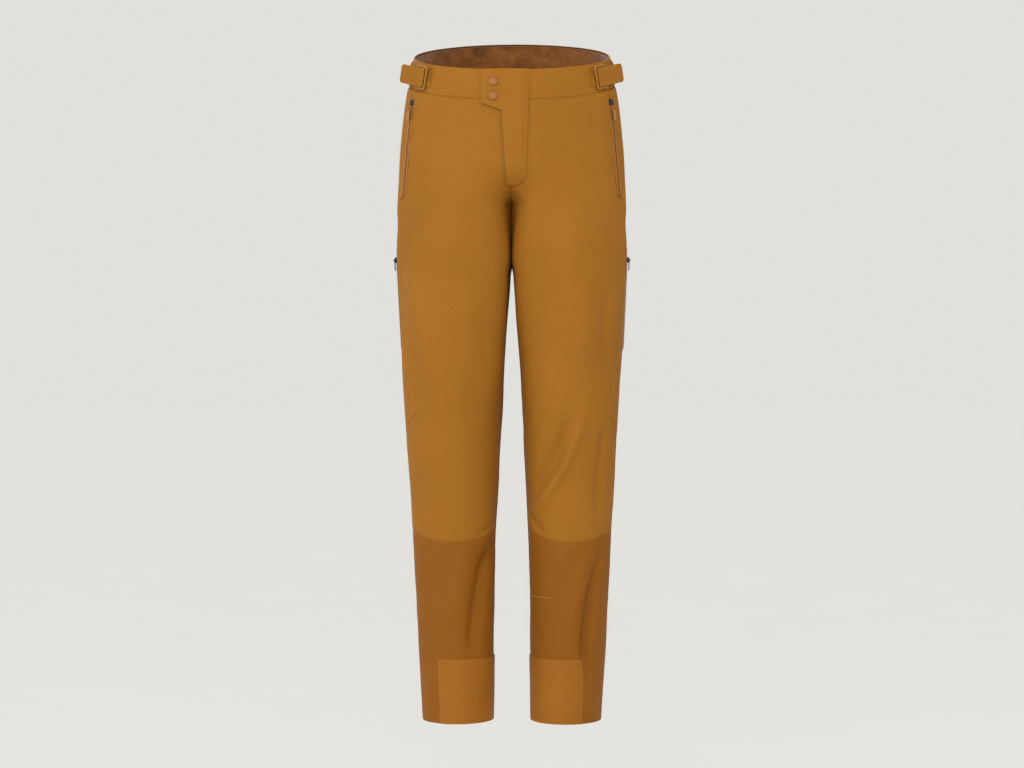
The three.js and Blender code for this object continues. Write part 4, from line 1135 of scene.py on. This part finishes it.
def make_flap():
    """The fly flap: sewn on at one edge, standing over the snaps along the other."""
    slope_foot = TAB_BOTTOM - TAB_SLOPE
    lower = FLAP_BOTTOM + spacing(slope_foot - FLAP_BOTTOM, 4)[:-5] * (slope_foot - FLAP_BOTTOM)
    upper = TAB_BOTTOM + spacing(FLAP_TOP - TAB_BOTTOM, 4)[1:] * (FLAP_TOP - TAB_BOTTOM)
    rows = np.concatenate([lower, np.linspace(slope_foot, TAB_BOTTOM, 9), upper])[:, None]
    t = spacing(60, 3)[None, :]
    free, seam = line_at(FLAP_FREE, rows), line_at(FLAP_SEAM, rows)
    x = lerp(free, seam, t)
    z = rows + 8 * t * t * np.clip(1 - (rows - FLAP_BOTTOM) / 18, 0, 1)
    point, outward = front_point(x, z)
    from_seam = smoothstep(seam - x, 0, 11)
    edge = np.minimum(np.minimum(x - free, z - FLAP_BOTTOM), FLAP_TOP - z)
    lift = lerp(LAYER_GAP, FLAP_STANDOFF, from_seam) + FLAP_THICKNESS
    lift = lift - 0.7 * bell(edge, 1.1) - 0.25 * bell(edge - 5, 1.0)
    lift = lift + 0.3 * lattice_noise(x / 30 + 4, z / 34 + 4, 91) * from_seam
    cloth_piece("fly_flap_cloth", point, outward, lift, FLAP_THICKNESS, (x, z), "softshell", "fly_flap",
                (np.ptp(x), np.ptp(z)), body="flap")


def fly_seat():
    """Seat of the fly zip, sunk so that its bail stays under the flap, its length and that depth."""
    top, bottom = FRONT_TOP - 6, INSEAM + FRONT_RISE_HEIGHT
    depth = SLIDER_TOP + BAIL["room"] + BAIL["band"] + 2 * LAYER_GAP - FLAP_STANDOFF

    def at(z):
        return np.array([0.0, float(surface(1, 1, z)[1]), z])

    up = at(top) - at(bottom)
    frame4 = frame_from(at(top), up, np.array([0.0, -1, 0]))
    heights = [(at(z) - at(top)) @ frame4[:, 2] for z in np.linspace(bottom, top, 17)]
    frame4[:, 3] = at(top) + frame4[:, 2] * (min(heights) - depth)
    return frame4, np.linalg.norm(up), depth


def make_fly_zip():
    frame4, length, depth = fly_seat()
    facings = []
    for sign in (1, -1):
        outline = rounded_box(5, length - 1, 0.5, (sign * (FLY_TAPE / 2 - 2.5), -(length - 1) / 2), 3)
        facings.append(slab([outline], LAYER_GAP + TAPE_THICKNESS / 2, depth - CLOTH - LAYER_GAP - 0.6,
                            0.4, frame4))
    make_zip("fly", "centre", (frame4, length), FLY_TAPE, ("slider_metal", "pull"), (15, 5),
             ["fly_slider_body_centre"], facings, ribs=3)
    width, height = 38.0, length - 2
    x = 3 + width * (spacing(width, 4)[None, :] - 0.5)
    y = -1 - height * spacing(height, 4)[:, None]
    grid = place(frame4, np.stack(np.broadcast_arrays(x, y, 0.0), -1))
    outward = np.broadcast_to(frame4[:, 2], grid.shape)
    cloth_piece("fly_underlap_cloth", grid, outward, None, 1.2, (x, y), "softshell", "fly_underlap",
                (width, height), "inside", points=grid, area=False)


make_flap()
make_fly_zip()

# ---- Snaps ----------------------------------------------------------------------------------------
SNAP_X = 26.0                              # towards the wearer's right
SNAP_HEIGHTS = (FRONT_TOP - 19, FRONT_TOP - 41)


def make_snap(z, name):
    """Press stud: a dished cap with a bright rolled rim, its socket under the flap and the stud below."""
    frame4 = seat(-1, float(u_at(SNAP_X, z)), z)
    low, high, bore = FLAP_STANDOFF + FLAP_THICKNESS + LAYER_GAP, FLAP_STANDOFF - LAYER_GAP, 2.3
    radius, roll = 7.5, 0.8
    rim = [(radius - roll + roll * math.cos(t), low + 0.85 + 0.75 * math.sin(t))
           for t in np.linspace(-1.4, 2.6, 12)]
    profiles = {
        "cap": [(0.001, low)] + rim + [(5.5, low + 0.9), (4.8, low + 0.8), (2.5, low + 0.95),
                                       (0.001, low + 1.0)],
        "socket": [(bore, high - 1), (4.4, high - 1), (5, high - 0.5), (4.8, high), (bore + 0.3, high),
                   (bore, high - 0.3)],
        "stud": [(0.001, LAYER_GAP), (5, LAYER_GAP), (4.8, LAYER_GAP + 0.5), (2.2, LAYER_GAP + 0.6),
                 (1.8, 1.2), (2, 1.7), (1.5, 2), (0.001, 2)],
    }
    for part, profile in profiles.items():
        hardware(f"snap_{part}_{name}_turned", [revolved(profile, frame4)], "copper",
                 "garment" if part == "stud" else "flap", f"snap_{part}_{name}")


for z, name in zip(SNAP_HEIGHTS, ("upper", "lower")):
    make_snap(z, name)

# ---- Waist adjusters ------------------------------------------------------------------------------
STRAP_WIDTH, STRAP_THICKNESS, STRAP_END = 29.0, 1.6, 56.0
BUCKLE = {"length": 24.0, "height": 37.0, "bar": 3.0, "thickness": 2.4}
BUCKLE_U, STRAP_BACK_U = 0.36, -0.2
ADJUSTER_GIRTH = 200.0                     # cloth to one unit of u along the waistband
STRAP_LIFT = LAYER_GAP + 0.2
RING_BASE = STRAP_LIFT + STRAP_THICKNESS + LAYER_GAP + 2.0
STRAP_END_BASE = RING_BASE + BUCKLE["thickness"] + LAYER_GAP


def buckle_middle(u):
    return (band_bottom(u) + waist_top(u)) / 2 + 1


def band_seat(side, u):
    """Seat on the waistband's middle line, with X along the band."""
    z = float(buckle_middle(u))
    ahead, behind = (surface(side, u + step, buckle_middle(u + step)) for step in (0.01, -0.01))
    run = unit(ahead - behind)
    up = np.array([0.0, 0, 1]) - run[2] * run
    return frame_from(surface(side, u, z), up, normal(side, u, z))


def strap_cloth(node, ending, side, u_from, u_to, height, base, thickness, material):
    """A flat band round the hip, centred on the waistband, with slightly rolled edges."""
    us = lerp(u_from, u_to, spacing(max((u_to - u_from) * ADJUSTER_GIRTH, 14), 3.5))[None, :]
    t = spacing(height, 3.0)[:, None]
    z = buckle_middle(us) + (t - 0.5) * height
    u = us + 0 * t
    plain = surface(side, u, z)
    edge = np.minimum(t, 1 - t) * height
    up = base + thickness + 0 * u - 0.35 * bell(edge, 1.0) + 0.15 * lattice_noise(u * 8, z / 20, 95)
    width = max(lengths(plain, 1).sum(1).max(), 10.1)
    cloth_piece(f"{node}_{ending}", plain, normal(side, u, z), up, thickness, (u * ADJUSTER_GIRTH, z),
                material, node, (width, height), area=False)


def strap_stitches(name, side, u, reach):
    """A sewn box with a cross, where a strap is fixed to the waistband."""
    z = float(buckle_middle(u))
    low, high = z - STRAP_WIDTH / 2 + 3, z + STRAP_WIDTH / 2 - 3
    far = u + float(u_step(u, z, reach))
    corners = np.array([(u, low), (far, low), (far, high), (u, high), (u, low), (far, high)])
    t = np.linspace(0, 1, 12)[:, None]
    path = np.concatenate([lerp(a, b, t) for a, b in zip(corners[:-1], corners[1:])])
    outward = normal(side, path[:, 0], path[:, 1])
    points = surface(side, path[:, 0], path[:, 1]) + outward * (STRAP_LIFT + STRAP_THICKNESS + 0.1)
    stitches(name, points, outward, "garment")


def make_strap_end(side, name, frame4):
    """Free end of the strap: threaded through the ring, folded back over it and standing off the hip."""
    body, corner, inset = f"strap_end_body_{name}", 5.0, 3.0
    root = -side * (BUCKLE["length"] / 2 - BUCKLE["bar"] - 0.6)

    def top(share):
        return STRAP_END_BASE + STRAP_THICKNESS + 1.6 * np.sin(np.pi * share) - 1.2 * share

    share = np.linspace(0, 1, 26)[:, None]
    t = spacing(STRAP_WIDTH, 3.0)[None, :]
    y = (t - 0.5) * STRAP_WIDTH
    into_corner = np.maximum(np.abs(y) - (STRAP_WIDTH / 2 - corner), 0)
    reach = STRAP_END - corner + np.sqrt(np.maximum(corner ** 2 - into_corner ** 2, 0))
    x = root + side * share * reach
    z = top(share) - 0.35 * bell(np.minimum(t, 1 - t) * STRAP_WIDTH, 1.0)
    grid = place(frame4, np.stack(np.broadcast_arrays(x, y, z), -1))
    cloth_piece(f"adjuster_strap_end_{name}_cloth", grid, np.broadcast_to(frame4[:, 2], grid.shape), None,
                STRAP_THICKNESS, (x, y), "softshell", f"adjuster_strap_end_{name}",
                (STRAP_END, STRAP_WIDTH), body=body, points=grid,
                area=False)
    outline = rounded_box(24, STRAP_WIDTH - 2 * inset, 3, (root + side * (STRAP_END - 17), 0))
    high = STRAP_END_BASE - LAYER_GAP + 0.3
    hardware(f"adjuster_hook_patch_{name}_tape", [slab([outline], high - 1.0, high, 0.3, frame4)],
             "hook_and_loop", body, f"adjuster_hook_patch_{name}", frame4)
    run = np.linspace(8, STRAP_END - 4, 20)
    for sign, label in ((1, "upper"), (-1, "lower")):
        edge_y = sign * (STRAP_WIDTH / 2 - inset)
        path = np.stack(np.broadcast_arrays(root + side * run, edge_y, top(run / STRAP_END)), 1)
        points = place(frame4, path)
        stitches(f"strap_end_{name}_stitches_{label}", points, np.broadcast_to(frame4[:, 2], points.shape),
                 body)


def make_adjuster(side, name):
    z = float(buckle_middle(BUCKLE_U))
    frame4 = band_seat(side, BUCKLE_U)
    length, height, bar = BUCKLE["length"], BUCKLE["height"], BUCKLE["bar"]

    def past(reach):
        return BUCKLE_U + float(u_step(BUCKLE_U, z, reach))

    strap_cloth(f"adjuster_strap_{name}", "cloth", side, STRAP_BACK_U, past(length / 2 - bar - 1),
                STRAP_WIDTH, STRAP_LIFT, STRAP_THICKNESS, "softshell")
    strap_cloth(f"adjuster_keeper_{name}", "cloth", side, past(length / 2 - bar), past(length / 2 + 4),
                STRAP_WIDTH - 3, STRAP_LIFT, STRAP_THICKNESS, "softshell")
    ring = rounded_box(length, height, 4)
    hole = rounded_box(length - 2 * bar, height - 2 * bar, 1.8)
    plate = slab([ring, hole[::-1]], RING_BASE, RING_BASE + BUCKLE["thickness"], 0.8, frame4)
    hardware(f"adjuster_buckle_{name}_ring", [plate], "buckle", "garment", f"adjuster_buckle_{name}")
    make_strap_end(side, name, frame4)
    strap_cloth(f"adjuster_loop_patch_{name}", "tape", side, STRAP_BACK_U + 0.05, BUCKLE_U - 0.18,
                STRAP_WIDTH - 6, STRAP_LIFT + STRAP_THICKNESS + 2 * LAYER_GAP, 0.8, "hook_and_loop")
    strap_stitches(f"adjuster_{name}_box_stitch", side, STRAP_BACK_U + 0.01, 12)


for side, name in SIDES:
    make_adjuster(side, name)


# ---- Stitched lines -------------------------------------------------------------------------------
def sew(name, side, us, zs, lift, **more):
    """Stitches on the draped cloth along a line of us and heights."""
    us, zs = np.broadcast_arrays(us, zs)
    outward = normal(side, us, zs)
    path = surface(side, us, zs) + outward * (lift + drape(side, us, zs))[..., None]
    stitches(name, path, outward, "garment", **more)


def make_thread_lines():
    """The short pale line of stitching on one shin, and the sewn edges of the patches."""
    height = 193.0
    us = u_at(np.linspace(27, 62, 16), np.full(16, height))
    sew("shin_bartack", 1, us, height, 0.1, material="pale_thread", length=2.0, gap=0.25, radius=0.42)
    on_patch, edge_u = LAYER_GAP + 1.2, KICK_FRONT + 0.015
    for side, name in SIDES:
        sew(f"kick_patch_{name}_top_stitches", side, np.linspace(edge_u, 1 - 0.01, 60), KICK_TOP - 3,
            on_patch)
        sew(f"kick_patch_{name}_edge_stitches", side, edge_u, np.linspace(4, KICK_TOP - 4, 40), on_patch)


make_thread_lines()


def make_binding():
    """Dark bound edge inside the top of the back waistband."""
    sides, us = round_the_back(0.42, 90)
    z = waist_top(us) - 1.6
    path = surface(sides, us, z) - normal(sides, us, z) * (CLOTH + 0.6)
    finish_piece(link("waistband_binding", wire("waistband_binding", [path], 0.8)), "binding", "garment")


make_binding()


# ---- Floor, light and finish ----------------------------------------------------------------------
def floor_material(colour):
    m = Nodes("floor")
    m.set(Base_Color=m.shade(m.noise(3), colour, 0.995, 1.005), Roughness=0.95, Specular_IOR_Level=0.0)
    return m.material


def make_floor():
    """A wide pale floor under the hanging trousers."""
    size, drop = 60.0, 0.30
    corners = [(x * size, y * size, CAD_LOW.z - drop) for x, y in ((-1, -1), (1, -1), (1, 1), (-1, 1))]
    mesh = plain_mesh("floor", corners, [(0, 1, 2, 3)])
    mesh.materials.append(floor_material((0.66, 0.657, 0.64)))
    link("floor", mesh)


def lamp(name, kind, energy, towards, axis, **fields):
    """A light whose local axis points along towards."""
    data = bpy.data.lights.new(name, kind)
    data.energy = energy
    for key, value in fields.items():
        setattr(data, key, value)
    light = link(name, data)
    light.rotation_euler = towards.to_track_quat(axis, "Y").to_euler()
    return light


def sun(name, azimuth, elevation, strength, angle):
    """Broad soft light from a direction: azimuth 0 is the front, and 90 the wearer's left."""
    a, e = math.radians(azimuth), math.radians(elevation)
    towards = Vector((math.sin(a) * math.cos(e), -math.cos(a) * math.cos(e), math.sin(e)))
    lamp(name, "SUN", strength, towards, "Z", angle=math.radians(angle))


def softbox(name, place, size, power):
    """Square area light at a place in metres from the waist opening, turned towards the thighs."""
    place = Vector(place)
    towards = Vector((0, 0, CAD_LOW.z * 0.3)) - place
    lamp(name, "AREA", power, towards, "-Z", size=size).location = place


def make_light():
    """Flat studio light from the front and both sides, a little stronger from the viewer's left."""
    world = bpy.data.worlds.new("studio")
    world.use_nodes = True
    background = world.node_tree.nodes["Background"]
    background.inputs["Color"].default_value = (*linear(225, 224, 220), 1)
    background.inputs["Strength"].default_value = 1.0
    bpy.context.scene.world = world
    bpy.context.scene.view_settings.view_transform = "Standard"
    sun("left", -70, 18, 1.5, 50)
    sun("right", 56, 14, 0.8, 50)
    sun("back", -150, 32, 1.1, 30)
    softbox("key", (-0.15, -2.2, 0.35), 1.4, 28.5)


make_floor()
make_light()
